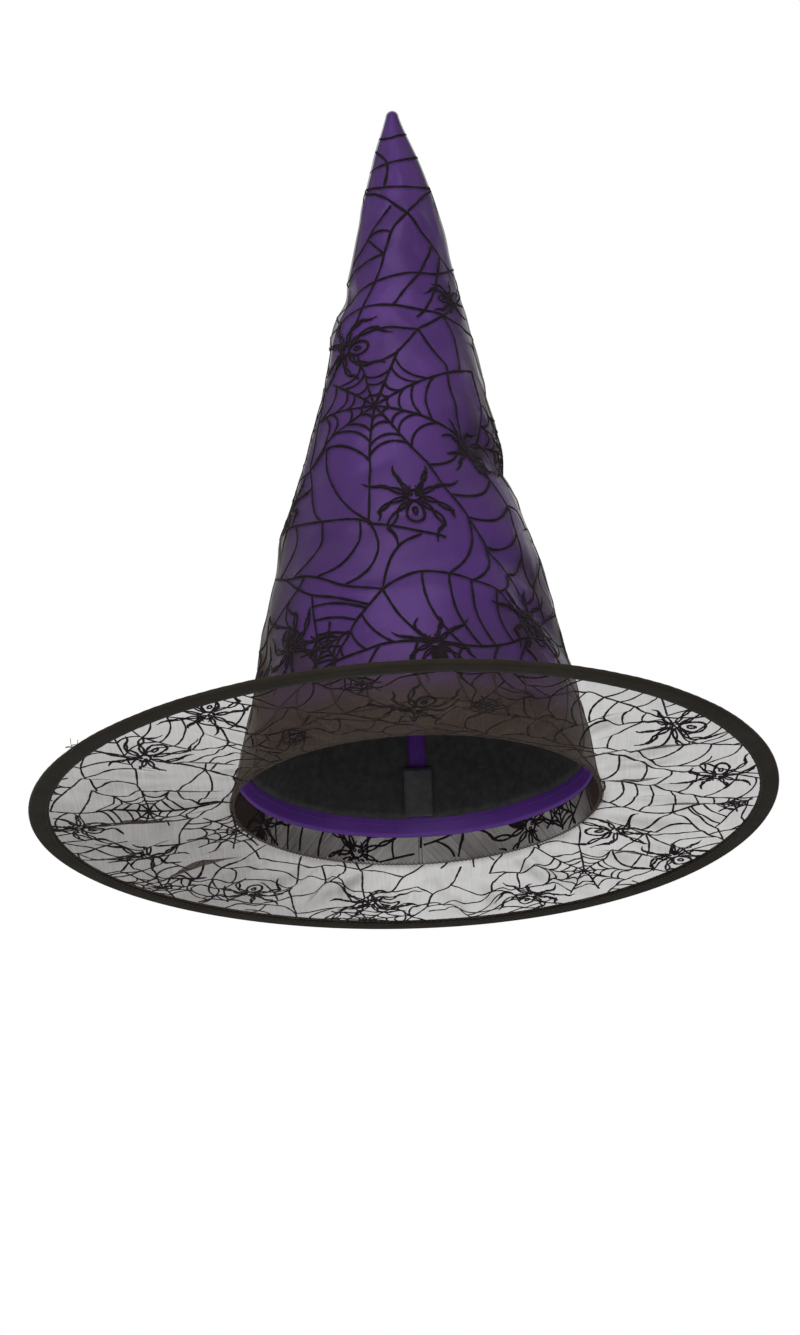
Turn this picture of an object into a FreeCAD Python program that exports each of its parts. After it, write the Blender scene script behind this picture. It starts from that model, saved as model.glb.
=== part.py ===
import FreeCAD, Part
import os
import re
import Sketcher

# Witch hat: a soft cone-shaped crown on a wide brim. The brim is one ring of sheer mesh, stretched in
# a wire hoop and sewn to the foot of the crown's own sheer overlay. Under the overlay a satin cone
# gives the colour, and a stiff interlining inside it makes the crown stand up.
#
# Frame, in millimetres: +Z up along the crown, the origin under the middle of the hoop, on the plane
# that the edge binding rests on. +X is the wearer's left, and the seams are at the back, at +Y.

SIZES = [
    ("hat_height", 398, "rest plane to the point of the overlay"),
    ("brim_diameter", 380, "over the edge binding"),
    ("foot_radius", 94, "outside of the overlay where it meets the brim"),
    ("seam_turn", 1.5, "brim mesh that reaches in past the overlay's outside, round the head"),
    ("crown_shift", 6.5, "how far the crown stands off the hoop's centre, along X"),
    ("tip_radius", 3.5, "rounding of the overlay's point"),
    ("mesh_thickness", 0.35, "sheer mesh of brim and overlay"),
    ("satin_thickness", 0.5, "one ply of satin"),
    ("satin_lift", 14, "bare overlay between the brim mesh and the satin's hem"),
    ("hem_depth", 8, "satin turned up inside its lower edge"),
    ("seam_allowance", 8, "each side of the satin's back seam"),
    ("lining_thickness", 1.2, "stiff interlining"),
    ("lining_margin", 1.5, "interlining held back from the hem and the seam allowances"),
    ("lining_drop", 7, "bend line down to the interlining's upper edge"),
    ("layer_gap", 0.35, "air between one layer of the crown and the next"),
    ("bend_height", 245, "where the soft point bends over"),
    ("bend_turn", 30, "degrees that the point bends to each side"),
    ("bend_clearance", 0.6, "point to the lower crown's rim, over the whole turn"),
    ("skirt_margin", 4, "degrees of the point's skirt left inside the rim at full turn"),
    ("wire_diameter", 1.8, "hoop wire"),
    ("wire_gap", 1, "between the wire's two ends"),
    ("ferrule_length", 16, "crimped sleeve over the two ends"),
    ("ferrule_wall", 0.3, "sleeve"),
    ("tape_width", 10, "edge binding, seen from above"),
    ("tape_flat", 5, "flat part of the binding, inside the bulge of the wire"),
    ("tape_thickness", 0.8, "binding tape, its turned edge included"),
    ("sewing_ease", 0.05, "play between a sewn piece and what it holds"),
    ("thread_diameter", 0.5, "sewing thread"),
    ("stitch_margin", 1.2, "row of stitches from the edge it holds"),
    ("tack_diameter", 0.8, "turns of thread in one tack"),
    ("knot_diameter", 1.6, "knot of the tip tack"),
    ("label_width", 15, "care label"),
    ("label_length", 26, "care label"),
    ("label_thickness", 0.6, "both plies of the label"),
]
ALIASES = [alias for alias, _, _ in SIZES]

# Heights and radii that several pieces share, worked out from the sizes.
BULGE = "(wire_diameter / 2 + sewing_ease + tape_thickness)"
WIRE_RING = f"(brim_diameter / 2 - {BULGE})"
TAPE_EDGE = "(brim_diameter / 2 - tape_width)"
MESH_LEVEL = "(tape_thickness + sewing_ease)"
FOOT = f"({MESH_LEVEL} + mesh_thickness)"
TAPE_TOP = f"({FOOT} + sewing_ease + tape_thickness)"
SLEEVE = "(wire_diameter / 2 + sewing_ease + ferrule_wall)"
SLOT_END = f"({WIRE_RING} - {SLEEVE} - sewing_ease - tape_thickness / 2)"
SHOULDER = "(hat_height - tip_radius)"
SLOPE = f"((foot_radius - tip_radius) / ({SHOULDER} - {FOOT}))"
SATIN_OUT = "(mesh_thickness + layer_gap)"
SATIN_IN = f"({SATIN_OUT} + satin_thickness)"
PLY_IN = f"({SATIN_IN} + satin_thickness)"
LINING_OUT = f"({SATIN_IN} + layer_gap)"
LINING_IN = f"({LINING_OUT} + lining_thickness)"
HEM = f"({FOOT} + satin_lift)"
LINING_FOOT = f"({HEM} + hem_depth + lining_margin)"
LINING_TOP = "(bend_height - lining_drop)"
STITCH_RING = f"({TAPE_EDGE} + stitch_margin)"
THREAD_BED = "(thread_diameter / 2 + sewing_ease)"


def wall(height, inset):
    """The radius of the crown's straight side at a height, so far in from the overlay's outside."""
    return f"(foot_radius - {SLOPE} * ({height} - {FOOT}) - {inset})"


RIM = wall("bend_height", SATIN_IN)
NECK = f"(({RIM} - bend_clearance) * (cos(bend_turn) + {SLOPE} * sin(bend_turn)))"
SKIRT_TURN = "(bend_turn + skirt_margin)"

doc = FreeCAD.newDocument("witch_hat")
sheet = doc.addObject("Spreadsheet::Sheet", "sizes")
for row, (alias, value, use) in enumerate(SIZES, 1):
    sheet.set(f"A{row}", alias)
    sheet.set(f"B{row}", str(value))
    sheet.set(f"C{row}", use)
    sheet.setAlias(f"B{row}", alias)
doc.recompute()
pieces = []


def cells(formula):
    """The formula as the document reads it, with each size taken from the sheet."""
    return re.sub("|".join(rf"\b{alias}\b" for alias in ALIASES), r"sizes.\g<0>", formula)


def bind(thing, **formulas):
    """Ties properties to formulas. A double underscore stands for a dot in the property's path."""
    for path, formula in formulas.items():
        thing.setExpression(path.replace("__", "."), cells(formula))
    return thing


def primitive(kind, name, **formulas):
    return bind(doc.addObject(f"Part::{kind}", name), **formulas)


def boolean(kind, name, base, tool):
    both = doc.addObject(f"Part::{kind}", name)
    both.Base = base
    both.Tool = tool
    return both


def piece(thing, label):
    """Marks a finished object as one sub-part of the hat."""
    thing.Label = label
    pieces.append(thing)
    return thing


def new_sketch(body, name):
    """A sketch in the plane of the back seam: its x runs out along +Y and its y runs up."""
    sketch = body.newObject("Sketcher::SketchObject", name)
    plane = next(p for p in body.Origin.OriginFeatures if p.Role == "YZ_Plane")
    sketch.AttachmentSupport = [(plane, "")]
    sketch.MapMode = "FlatFace"
    return sketch


def hold(sketch, geometry, point, axis, formula):
    """Holds a point of the sketch at a distance from the origin along one axis, or on the other axis."""
    if formula == "0":
        on_line = -2 if axis == "X" else -1
        sketch.addConstraint(Sketcher.Constraint("PointOnObject", geometry, point, on_line))
        return
    value = float(sketch.evalExpression(cells(formula)))
    index = sketch.addConstraint(Sketcher.Constraint(f"Distance{axis}", -1, 1, geometry, point, value))
    sketch.setExpression(f"Constraints[{index}]", cells(formula))


def draw_outline(sketch, corners):
    """A closed outline through corners, each (radius, height) or (radius, height, centre, turns_left).

    A corner with a centre starts an arc to the next corner about a point at that radius.
    """
    spots = [[float(sketch.evalExpression(cells(c[i]))) for i in (0, 1)] for c in corners]
    ends = []
    for i, corner in enumerate(corners):
        start = FreeCAD.Vector(*spots[i], 0)
        end = FreeCAD.Vector(*spots[(i + 1) % len(spots)], 0)
        if len(corner) == 2:
            edge = sketch.addGeometry(Part.LineSegment(start, end))
            ends.append((edge, 1, 2))
            continue
        middle_x = float(sketch.evalExpression(cells(corner[2])))
        halfway = (start + end) / 2
        across = end - start
        middle_y = halfway.y - across.x * (middle_x - halfway.x) / across.y
        middle = FreeCAD.Vector(middle_x, middle_y, 0)
        first, last = (start, end) if corner[3] else (end, start)
        circle = Part.Circle(middle, FreeCAD.Vector(0, 0, 1), (start - middle).Length)
        arc = Part.ArcOfCircle(circle, circle.parameter(first), circle.parameter(last))
        edge = sketch.addGeometry(arc)
        ends.append((edge, 1, 2) if corner[3] else (edge, 2, 1))
        hold(sketch, edge, 3, "X", corner[2])
    for i, corner in enumerate(corners):
        edge, start, _ = ends[i]
        before, _, end = ends[i - 1]
        sketch.addConstraint(Sketcher.Constraint("Coincident", before, end, edge, start))
        hold(sketch, edge, start, "X", corner[0])
        hold(sketch, edge, start, "Y", corner[1])


def draw_circle(sketch, centre, radius):
    spot = [float(sketch.evalExpression(cells(c))) for c in centre]
    size = float(sketch.evalExpression(cells(radius)))
    circle = Part.Circle(FreeCAD.Vector(*spot, 0), FreeCAD.Vector(0, 0, 1), size)
    edge = sketch.addGeometry(circle)
    hold(sketch, edge, 3, "X", centre[0])
    hold(sketch, edge, 3, "Y", centre[1])
    index = sketch.addConstraint(Sketcher.Constraint("Radius", edge, size))
    sketch.setExpression(f"Constraints[{index}]", cells(radius))


def revolve(body, sketch, kind="Revolution", angle=None):
    """Turns a sketch about the vertical axis, all round or by an angle centred on the back."""
    feature = body.newObject(f"PartDesign::{kind}", f"{sketch.Name}_{kind.lower()}")
    feature.Profile = sketch
    feature.ReferenceAxis = (sketch, ["V_Axis"])
    feature.Angle = 360
    if angle:
        feature.Midplane = True
        bind(feature, Angle=angle)
    sketch.Visibility = False
    return feature


def turned(name, corners, over_crown=True):
    """A body turned from one outline, about the crown's axis or the hoop's."""
    body = doc.addObject("PartDesign::Body", name)
    sketch = new_sketch(body, f"{name}_outline")
    draw_outline(sketch, corners)
    revolve(body, sketch)
    if over_crown:
        bind(body, Placement__Base__x="crown_shift")
    return body


def cone_layer(name, foot, top, outer, inner):
    """One layer of the crown: a ring of its straight side between two heights and two insets."""
    corners = [(wall(foot, inner), foot), (wall(foot, outer), foot)]
    corners += [(wall(top, outer), top), (wall(top, inner), top)]
    return turned(name, corners)


def ring_thread(label, radius, height, over_crown=True):
    """One thread that runs all the way round."""
    ring = primitive("Torus", label, Radius1=radius, Radius2="thread_diameter / 2")
    bind(ring, Placement__Base__z=height)
    if over_crown:
        bind(ring, Placement__Base__x="crown_shift")
    return piece(ring, label)


def lean_in(thing, height, inset, sideways="0"):
    """Stands an object on the back of the crown's side, leaning in along its slope."""
    thing.Placement = FreeCAD.Placement(FreeCAD.Vector(), FreeCAD.Rotation(FreeCAD.Vector(1, 0, 0), 10))
    bind(thing, Placement__Rotation__Angle=f"atan({SLOPE})", Placement__Base__z=height)
    bind(thing, Placement__Base__x=f"crown_shift - {sideways}", Placement__Base__y=wall(height, inset))
    return thing


def seam_thread(label, foot, top, inset):
    """One thread up the back of the crown, so far in from the overlay's outside."""
    run = f"({top} - {foot}) * sqrt(1 + {SLOPE} ^ 2)"
    thread = primitive("Cylinder", label, Radius="thread_diameter / 2", Height=run)
    return piece(lean_in(thread, foot, inset), label)


def back_strip(name, half_width):
    """A tall box at the back of the crown, to cut or keep what lies near the seam."""
    strip = primitive("Box", name, Length=f"2 * {half_width}", Width="brim_diameter / 2", Height="hat_height")
    return bind(strip, Placement__Base__x=f"crown_shift - {half_width}")


def make_hoop():
    gap_turn = f"(wire_gap / {WIRE_RING} * 180 / pi)"
    wire = primitive("Torus", "hoop_wire", Radius1=WIRE_RING, Radius2="wire_diameter / 2")
    wire.Placement = FreeCAD.Placement(FreeCAD.Vector(), FreeCAD.Rotation(FreeCAD.Vector(0, 0, 1), 90))
    bind(wire, Angle3=f"360 - {gap_turn}", Placement__Rotation__Angle=f"90 + {gap_turn} / 2")
    piece(bind(wire, Placement__Base__z=BULGE), "hoop_wire")

    ferrule = doc.addObject("PartDesign::Body", "wire_ferrule")
    sketch = new_sketch(ferrule, "ferrule_section")
    draw_circle(sketch, (WIRE_RING, BULGE), SLEEVE)
    draw_circle(sketch, (WIRE_RING, BULGE), "wire_diameter / 2 + sewing_ease")
    revolve(ferrule, sketch, angle=f"ferrule_length / {WIRE_RING} * 180 / pi")
    piece(ferrule, "wire_ferrule")


def make_edge_binding():
    """Tape folded round the wire: flat below, with a slot for the mesh and a bulge over the wire."""
    inner_top = f"{TAPE_EDGE} + tape_flat"
    corners = [(TAPE_EDGE, "0"), (WIRE_RING, "0", WIRE_RING, True), (WIRE_RING, f"2 * {BULGE}")]
    corners += [(inner_top, TAPE_TOP), (TAPE_EDGE, TAPE_TOP), (TAPE_EDGE, f"{FOOT} + sewing_ease")]
    corners += [(SLOT_END, f"{FOOT} + sewing_ease"), (SLOT_END, "tape_thickness")]
    corners += [(TAPE_EDGE, "tape_thickness")]
    body = doc.addObject("PartDesign::Body", "edge_binding")
    sketch = new_sketch(body, "binding_section")
    draw_outline(sketch, corners)
    draw_circle(sketch, (WIRE_RING, BULGE), "wire_diameter / 2 + sewing_ease")
    revolve(body, sketch)
    for name, height in (("needle_bed", TAPE_TOP), ("bobbin_bed", "thread_diameter / 2")):
        bed = new_sketch(body, name)
        draw_circle(bed, (STITCH_RING, height), THREAD_BED)
        revolve(body, bed, "Groove")
    pocket = new_sketch(body, "ferrule_pocket")
    draw_circle(pocket, (WIRE_RING, BULGE), f"{SLEEVE} + sewing_ease")
    pocket_turn = f"(ferrule_length + 2 * sewing_ease) / {WIRE_RING} * 180 / pi"
    revolve(body, pocket, "Groove", pocket_turn)
    piece(body, "edge_binding")
    ring_thread("binding_needle_thread", STITCH_RING, TAPE_TOP, over_crown=False)
    bobbin_level = "thread_diameter / 2 + sewing_ease"
    ring_thread("binding_bobbin_thread", STITCH_RING, bobbin_level, over_crown=False)


def make_brim():
    whole = primitive("Cylinder", "brim_round", Radius=f"{SLOT_END} - sewing_ease", Height="mesh_thickness")
    bind(whole, Placement__Base__z=MESH_LEVEL)
    hole = primitive("Cylinder", "head_opening", Radius="foot_radius - seam_turn", Height="hat_height")
    bind(hole, Placement__Base__x="crown_shift")
    piece(boolean("Cut", "brim_mesh_ring", whole, hole), "brim_mesh")
    thread_top = f"({FOOT} + 2 * {THREAD_BED})"
    ring = wall(thread_top, f"(mesh_thickness + {THREAD_BED})")
    ring_thread("brim_seam_thread", ring, f"{FOOT} + {THREAD_BED}")


def make_overlay():
    """The sheer outer cone, from the brim mesh to its rounded point."""
    inner_dome = "tip_radius - mesh_thickness"
    corners = [(wall(FOOT, "mesh_thickness"), FOOT), (wall(FOOT, "0"), FOOT)]
    corners += [("tip_radius", SHOULDER, "0", True), ("0", "hat_height")]
    corners += [("0", f"{SHOULDER} + {inner_dome}", "0", False), (inner_dome, SHOULDER)]
    piece(turned("overlay_cone", corners), "crown_mesh")
    foot = f"({FOOT} + stitch_margin)"
    seam_thread("mesh_seam_thread", foot, SHOULDER, f"(0 - {THREAD_BED})")


def make_satin_crown():
    """The satin up to the bend, with its hem and its pressed-open back seam inside."""
    shell = cone_layer("satin_shell", HEM, "bend_height", SATIN_OUT, SATIN_IN)
    hem = cone_layer("satin_hem", HEM, f"({HEM} + hem_depth)", SATIN_IN, PLY_IN)
    plies = cone_layer("seam_plies", HEM, LINING_TOP, SATIN_IN, PLY_IN)
    allowances = boolean("Common", "seam_allowances", plies, back_strip("seam_strip", "seam_allowance"))
    turned_in = boolean("Fuse", "turned_in_satin", hem, allowances)
    piece(boolean("Fuse", "satin_crown", shell, turned_in), "satin_crown_lower")
    hem_row = f"({HEM} + hem_depth - stitch_margin)"
    ring_thread("satin_hem_thread", wall(hem_row, f"({PLY_IN} + {THREAD_BED})"), hem_row)
    row = f"({PLY_IN} + {THREAD_BED} + sewing_ease)"
    seam_thread("satin_seam_thread", LINING_FOOT, LINING_TOP, row)


def make_interlining():
    """The stiff cone inside the satin, open at the back where the seam allowances lie."""
    cone = cone_layer("lining_cone", LINING_FOOT, LINING_TOP, LINING_OUT, LINING_IN)
    slit = back_strip("lining_slit", "(seam_allowance + lining_margin)")
    piece(boolean("Cut", "slit_lining", cone, slit), "crown_interlining")


def make_satin_tip():
    """The soft point above the bend. Its round skirt turns inside the lower crown's rim."""
    neck_in = f"({NECK} - satin_thickness)"
    dome = f"(tip_radius - {SATIN_OUT})"
    dome_in = f"({dome} - satin_thickness)"
    low, low_in = (f"bend_height - {r} * sin({SKIRT_TURN})" for r in (NECK, neck_in))
    corners = [(f"{neck_in} * cos({SKIRT_TURN})", low_in), (f"{NECK} * cos({SKIRT_TURN})", low, "0", True)]
    corners += [(NECK, "bend_height"), (dome, SHOULDER, "0", True), ("0", f"{SHOULDER} + {dome}")]
    corners += [("0", f"{SHOULDER} + {dome_in}", "0", False), (dome_in, SHOULDER)]
    corners += [(neck_in, "bend_height", "0", False)]
    piece(turned("tip_cone", corners), "satin_crown_tip")

    knot_level = f"({SHOULDER} + {dome_in} - knot_diameter / 2 - sewing_ease)"
    knot = primitive("Sphere", "tack_knot", Radius="knot_diameter / 2")
    bind(knot, Placement__Base__z=knot_level)
    through = primitive("Cylinder", "tack_turns", Radius="thread_diameter / 2")
    bind(through, Height=f"hat_height - mesh_thickness - layer_gap / 2 - {knot_level}")
    bind(through, Placement__Base__z=knot_level)
    tack = boolean("Fuse", "tip_tack_thread", knot, through)
    piece(bind(tack, Placement__Base__x="crown_shift"), "tip_tack")


def make_hem_tacks():
    """Four tacks that hang the satin's hem inside the overlay."""
    level = f"({HEM} + hem_depth / 2)"
    tacks = []
    for quarter in range(4):
        bearing = 45 + 90 * quarter
        tack = primitive("Cylinder", f"hem_tack_{quarter}", Radius="tack_diameter / 2")
        along = FreeCAD.Rotation(FreeCAD.Vector(0, 0, 1), bearing)
        flat = FreeCAD.Rotation(FreeCAD.Vector(0, 1, 0), 90)
        tack.Placement = FreeCAD.Placement(FreeCAD.Vector(), along * flat)
        start = wall(level, f"({PLY_IN} + thread_diameter)")
        bind(tack, Height=f"{PLY_IN} + 2 * thread_diameter", Placement__Base__z=level)
        bind(tack, Placement__Base__x=f"crown_shift + {start} * cos({bearing})")
        bind(tack, Placement__Base__y=f"{start} * sin({bearing})")
        tacks.append(tack)
    group = doc.addObject("Part::Compound", "hem_tack_group")
    group.Links = tacks
    piece(group, "hem_tacks")


def make_care_label():
    """A blank label caught in the back seam, hanging flat inside the crown."""
    face = f"({PLY_IN} + 2 * {THREAD_BED} + label_thickness + 2 * sewing_ease)"
    label = primitive("Box", "care_label", Length="label_width", Width="label_thickness")
    bind(label, Height="label_length")
    piece(lean_in(label, LINING_FOOT, face, "label_width / 2"), "care_label")
    row = f"({LINING_FOOT} + label_length - 2 * stitch_margin)"
    thread = primitive("Cylinder", "label_thread", Radius="thread_diameter / 2")
    bind(thread, Height="label_width - 2 * stitch_margin")
    thread.Placement = FreeCAD.Placement(FreeCAD.Vector(), FreeCAD.Rotation(FreeCAD.Vector(0, 1, 0), 90))
    bind(thread, Placement__Base__x="crown_shift - label_width / 2 + stitch_margin", Placement__Base__z=row)
    bind(thread, Placement__Base__y=wall(row, f"({face} + {THREAD_BED} + sewing_ease)"))
    piece(thread, "label_thread")


make_hoop()
make_edge_binding()
make_brim()
make_overlay()
make_satin_crown()
make_interlining()
make_satin_tip()
make_hem_tacks()
make_care_label()
doc.recompute()

for thing in doc.Objects:
    if {"Invalid", "Error"} & set(thing.State):
        raise SystemExit(f"{thing.Label} failed: {thing.State}")
for thing in pieces:
    if thing.Shape.isNull() or not thing.Shape.isValid() or not thing.Shape.Solids:
        raise SystemExit(f"{thing.Label} has no valid solid")

os.makedirs("parts", exist_ok=True)
for thing in pieces:
    thing.Shape.exportStep(f"parts/{thing.Label}.step")
    box = thing.Shape.BoundBox
    print(f"{thing.Label}: {len(thing.Shape.Solids)} solid, {thing.Shape.Volume:.1f} mm3,"
          f" z {box.ZMin:.2f} to {box.ZMax:.2f}, x {box.XMin:.2f} to {box.XMax:.2f}")
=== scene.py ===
import math

import bpy
import numpy as np
from mathutils import Matrix, Vector, noise


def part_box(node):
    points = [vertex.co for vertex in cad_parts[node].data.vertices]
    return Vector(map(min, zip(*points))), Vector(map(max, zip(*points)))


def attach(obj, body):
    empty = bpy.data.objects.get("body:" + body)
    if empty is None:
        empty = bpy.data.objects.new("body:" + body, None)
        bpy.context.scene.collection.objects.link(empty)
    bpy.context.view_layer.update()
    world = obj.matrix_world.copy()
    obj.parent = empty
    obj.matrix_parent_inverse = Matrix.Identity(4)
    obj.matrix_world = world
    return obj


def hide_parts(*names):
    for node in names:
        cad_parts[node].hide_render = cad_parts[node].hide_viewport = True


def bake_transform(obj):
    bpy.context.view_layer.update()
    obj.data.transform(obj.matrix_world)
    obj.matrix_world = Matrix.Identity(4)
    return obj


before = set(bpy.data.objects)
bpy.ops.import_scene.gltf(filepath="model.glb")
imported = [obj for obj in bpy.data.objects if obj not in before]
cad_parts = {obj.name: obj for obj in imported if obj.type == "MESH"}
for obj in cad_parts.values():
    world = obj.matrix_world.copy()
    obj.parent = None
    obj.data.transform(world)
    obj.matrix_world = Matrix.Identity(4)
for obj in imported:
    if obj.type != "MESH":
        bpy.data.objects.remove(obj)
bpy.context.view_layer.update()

# A witch hat: a purple satin cone under a looser black sheer, a brim of the same sheer stretched in a
# wire hoop, and webs and spiders flocked on all of the sheer. Metres, in the frame of the CAD model:
# +Z up, the front at -Y, the seams at the back.

HAT, POINT = "hat", "point"
SEED = 7

# ---------------------------------------------------------------- measures, from the frame
overlay_lo, overlay_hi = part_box("crown_mesh")
satin_lo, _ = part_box("satin_crown_lower")
lining_lo, lining_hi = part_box("crown_interlining")
brim_lo, brim_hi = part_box("brim_mesh")
_, tape_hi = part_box("edge_binding")
wire_lo, wire_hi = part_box("hoop_wire")
needle_lo, needle_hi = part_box("binding_needle_thread")

AXIS_X = (overlay_lo.x + overlay_hi.x) / 2
FOOT_Z = overlay_lo.z
FOOT_R = (overlay_hi.x - overlay_lo.x) / 2
TOP_Z = overlay_hi.z
TIP_R = 0.0035
TIP_RINGS = 7
SATIN_IN, SATIN_THICK = 0.00055, 0.0005  # how far inside the sheer a layer lies, and its thickness
LINING_IN, LINING_THICK = 0.0014, 0.0011
LABEL_IN, LABEL_THICK = 0.0032, 0.00025
SHOULDER_Z = TOP_Z - TIP_R
SLOPE = (FOOT_R - TIP_R) / (SHOULDER_Z - FOOT_Z)
SLANT = math.sqrt(1 + SLOPE**2)
CONE_SIN = SLOPE / SLANT
APEX_Z = FOOT_Z + FOOT_R / SLOPE
HEM_Z = satin_lo.z
MESH_Z = (brim_lo.z + brim_hi.z) / 2
OPENING_R = 0.0925
TAPE_R = tape_hi.x
TAPE_WIDTH = 0.010
TAPE_IN_R = TAPE_R - TAPE_WIDTH
WIRE_Z = (wire_lo.z + wire_hi.z) / 2
SEAM_TURN = math.pi * CONE_SIN
WIRE_THICK = wire_hi.z - wire_lo.z

# How much of what lies behind the flat sheer its threads cover, and the most they cover in a fold.
CROWN_DENSITY, BRIM_DENSITY, CLOSEST_BRIM = 0.32, 0.47, 0.74


# ---------------------------------------------------------------- shape of the crown
def curve_of(points, spread=0.006):
    """A smooth function through a few (height, value) points."""
    step, reach = 0.001, 30
    at = np.linspace(-0.02, 0.42, 441)
    values = np.interp(at, *zip(*points))
    kernel = np.exp(-((np.arange(-reach, reach + 1) * step / spread) ** 2))
    padded = np.concatenate([np.full(reach, values[0]), values, np.full(reach, values[-1])])
    smooth = np.convolve(padded, kernel / kernel.sum(), "valid")
    return lambda z: np.interp(z, at, smooth)


# How far the crown bellies out beyond a plain cone, and how far it leans to +X, at each height.
FULLNESS = curve_of([(0.0, 0.0004), (0.02, 0.0008), (0.083, 0.0026), (0.113, 0.0033), (0.146, 0.0034),
                     (0.172, 0.0006), (0.206, 0.0012), (0.226, 0.0004), (0.268, 0.0018), (0.289, 0.0014),
                     (0.32, 0.0034), (0.345, 0.0034), (0.37, 0.0018), (0.392, 0.0004)])
LEAN = curve_of([(0.0, 0.0005), (0.05, 0.0014), (0.083, 0.0009), (0.144, 0.0006), (0.176, -0.0005),
                 (0.206, 0.0018), (0.26, 0.0028), (0.29, 0.0045), (0.32, 0.0052), (0.345, 0.0047),
                 (0.37, 0.0039), (0.392, 0.0035)])

# Soft creases: from (bearing in degrees, height) to (bearing, height), half width, depth inwards.
CREASES = [
    (-95, 0.292, -45, 0.276, 0.007, 0.0016),
    (-80, 0.252, -30, 0.262, 0.010, -0.0009),
    (30, 0.196, 100, 0.176, 0.008, 0.0020),
    (28, 0.172, 62, 0.205, 0.007, 0.0014),
    (-70, 0.168, -20, 0.150, 0.012, 0.0012),
    (-55, 0.112, 5, 0.122, 0.010, -0.0015),
    (-35, 0.102, 20, 0.104, 0.009, 0.0014),
    (25, 0.128, 75, 0.104, 0.010, 0.0018),
    (40, 0.100, 85, 0.072, 0.008, 0.0015),
    (-90, 0.085, -50, 0.070, 0.010, 0.0014),
    (-5, 0.238, 25, 0.300, 0.006, 0.0008),
    (120, 0.21, 165, 0.17, 0.010, 0.0018),
    (-165, 0.13, -110, 0.15, 0.012, 0.0020),
    (130, 0.09, 170, 0.12, 0.010, 0.0016),
    (-150, 0.26, -115, 0.23, 0.008, 0.0014),
    (-40, 0.345, 10, 0.325, 0.005, 0.0006),
    (-30, 0.312, 35, 0.330, 0.006, -0.0006),
    (-15, 0.275, 40, 0.252, 0.006, 0.0008),
    (-50, 0.232, -8, 0.222, 0.006, 0.0007),
    (10, 0.228, 55, 0.232, 0.006, -0.0008),
    (-55, 0.196, -18, 0.182, 0.007, -0.0010),
    (12, 0.150, 50, 0.163, 0.006, 0.0009),
    (-12, 0.132, 22, 0.140, 0.005, 0.0007),
    (-48, 0.136, -14, 0.128, 0.006, -0.0010),
    (5, 0.086, 48, 0.094, 0.007, -0.0009),
    (-45, 0.072, -5, 0.066, 0.006, 0.0008),
    (18, 0.062, 60, 0.050, 0.006, 0.0009),
    (-28, 0.356, 12, 0.342, 0.0032, 0.0005),
    (-4, 0.338, 44, 0.318, 0.0032, -0.0006),
    (-52, 0.318, -8, 0.332, 0.0034, 0.0006),
    (-40, 0.296, 0, 0.306, 0.0036, -0.0006),
    (8, 0.304, 48, 0.288, 0.0034, 0.0006),
    (-14, 0.262, 16, 0.246, 0.0034, 0.0006),
    (-46, 0.214, -12, 0.200, 0.0040, 0.0007),
    (6, 0.196, 40, 0.208, 0.0038, -0.0007),
    (-34, 0.160, -2, 0.170, 0.0036, 0.0006),
    (-24, 0.120, 4, 0.110, 0.0036, 0.0006),
    (20, 0.110, 50, 0.122, 0.0038, 0.0006),
    (-36, 0.094, -6, 0.088, 0.0036, -0.0006),
]

# Where the sheer stands off the satin in narrow folds: as a crease, with its height outwards.
SHEER_FOLDS = [
    (58, 0.268, 92, 0.180, 0.0040, 0.0022),
    (74, 0.292, 100, 0.215, 0.0035, 0.0018),
    (44, 0.222, 82, 0.150, 0.0035, 0.0017),
    (60, 0.138, 88, 0.060, 0.0040, 0.0018),
    (30, 0.092, 74, 0.036, 0.0040, 0.0016),
    (-92, 0.205, -72, 0.120, 0.0040, 0.0016),
    (-90, 0.112, -62, 0.040, 0.0045, 0.0020),
    (-52, 0.082, -20, 0.030, 0.0040, 0.0014),
    (-84, 0.300, -58, 0.240, 0.0035, 0.0014),
    (115, 0.25, 140, 0.16, 0.0040, 0.0018),
    (-150, 0.20, -125, 0.10, 0.0040, 0.0018),
    (-125, 0.31, -105, 0.23, 0.0035, 0.0014),
    (130, 0.12, 165, 0.05, 0.0045, 0.0018),
]
CREASE_STRENGTH = 2.0
EASE = 0.03  # the crown is held to its plain shape at its foot and point, and let go over this height
HOOP_DIP = 0.0036


def flat_of(bearing, height):
    """Where a place on the crown lies in its flat cut: the point at the origin, the foot at -Y."""
    slant, turn = (APEX_Z - height) * SLANT, bearing * CONE_SIN
    return slant * np.sin(turn), -slant * np.cos(turn)


def ridge(x, y, start, end, width, bow=0.12):
    """How near places are to the middle of a bowed fold, from 0 to 1."""
    along = np.array(end) - np.array(start)
    length = np.hypot(*along)
    t = ((x - start[0]) * along[0] + (y - start[1]) * along[1]) / length**2
    off = ((x - start[0]) * along[1] - (y - start[1]) * along[0]) / length
    middle = 1 - (2 * t - 1) ** 2
    return np.clip(middle, 0, 1) * np.exp(-(((off - bow * length * middle) / width) ** 2))


def creased(creases, bearing, height):
    """The depth of the given creases at places on the crown."""
    x, y = flat_of(bearing, height)
    depth = np.zeros_like(x)
    for turn_a, z_a, turn_b, z_b, width, deep in creases:
        start, end = flat_of(math.radians(turn_a), z_a), flat_of(math.radians(turn_b), z_b)
        depth += deep * ridge(x, y, start, end, width)
    return depth


def rough(x, y, z, size, seed):
    """Smooth noise between about -1 and 1, for arrays of places."""
    shift = Vector((seed * 3.1, seed * 1.7, seed * 0.9))
    places = zip(x.ravel(), y.ravel(), z.ravel())
    return np.array([noise.noise(Vector(p) / size + shift) for p in places]).reshape(x.shape)


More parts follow.
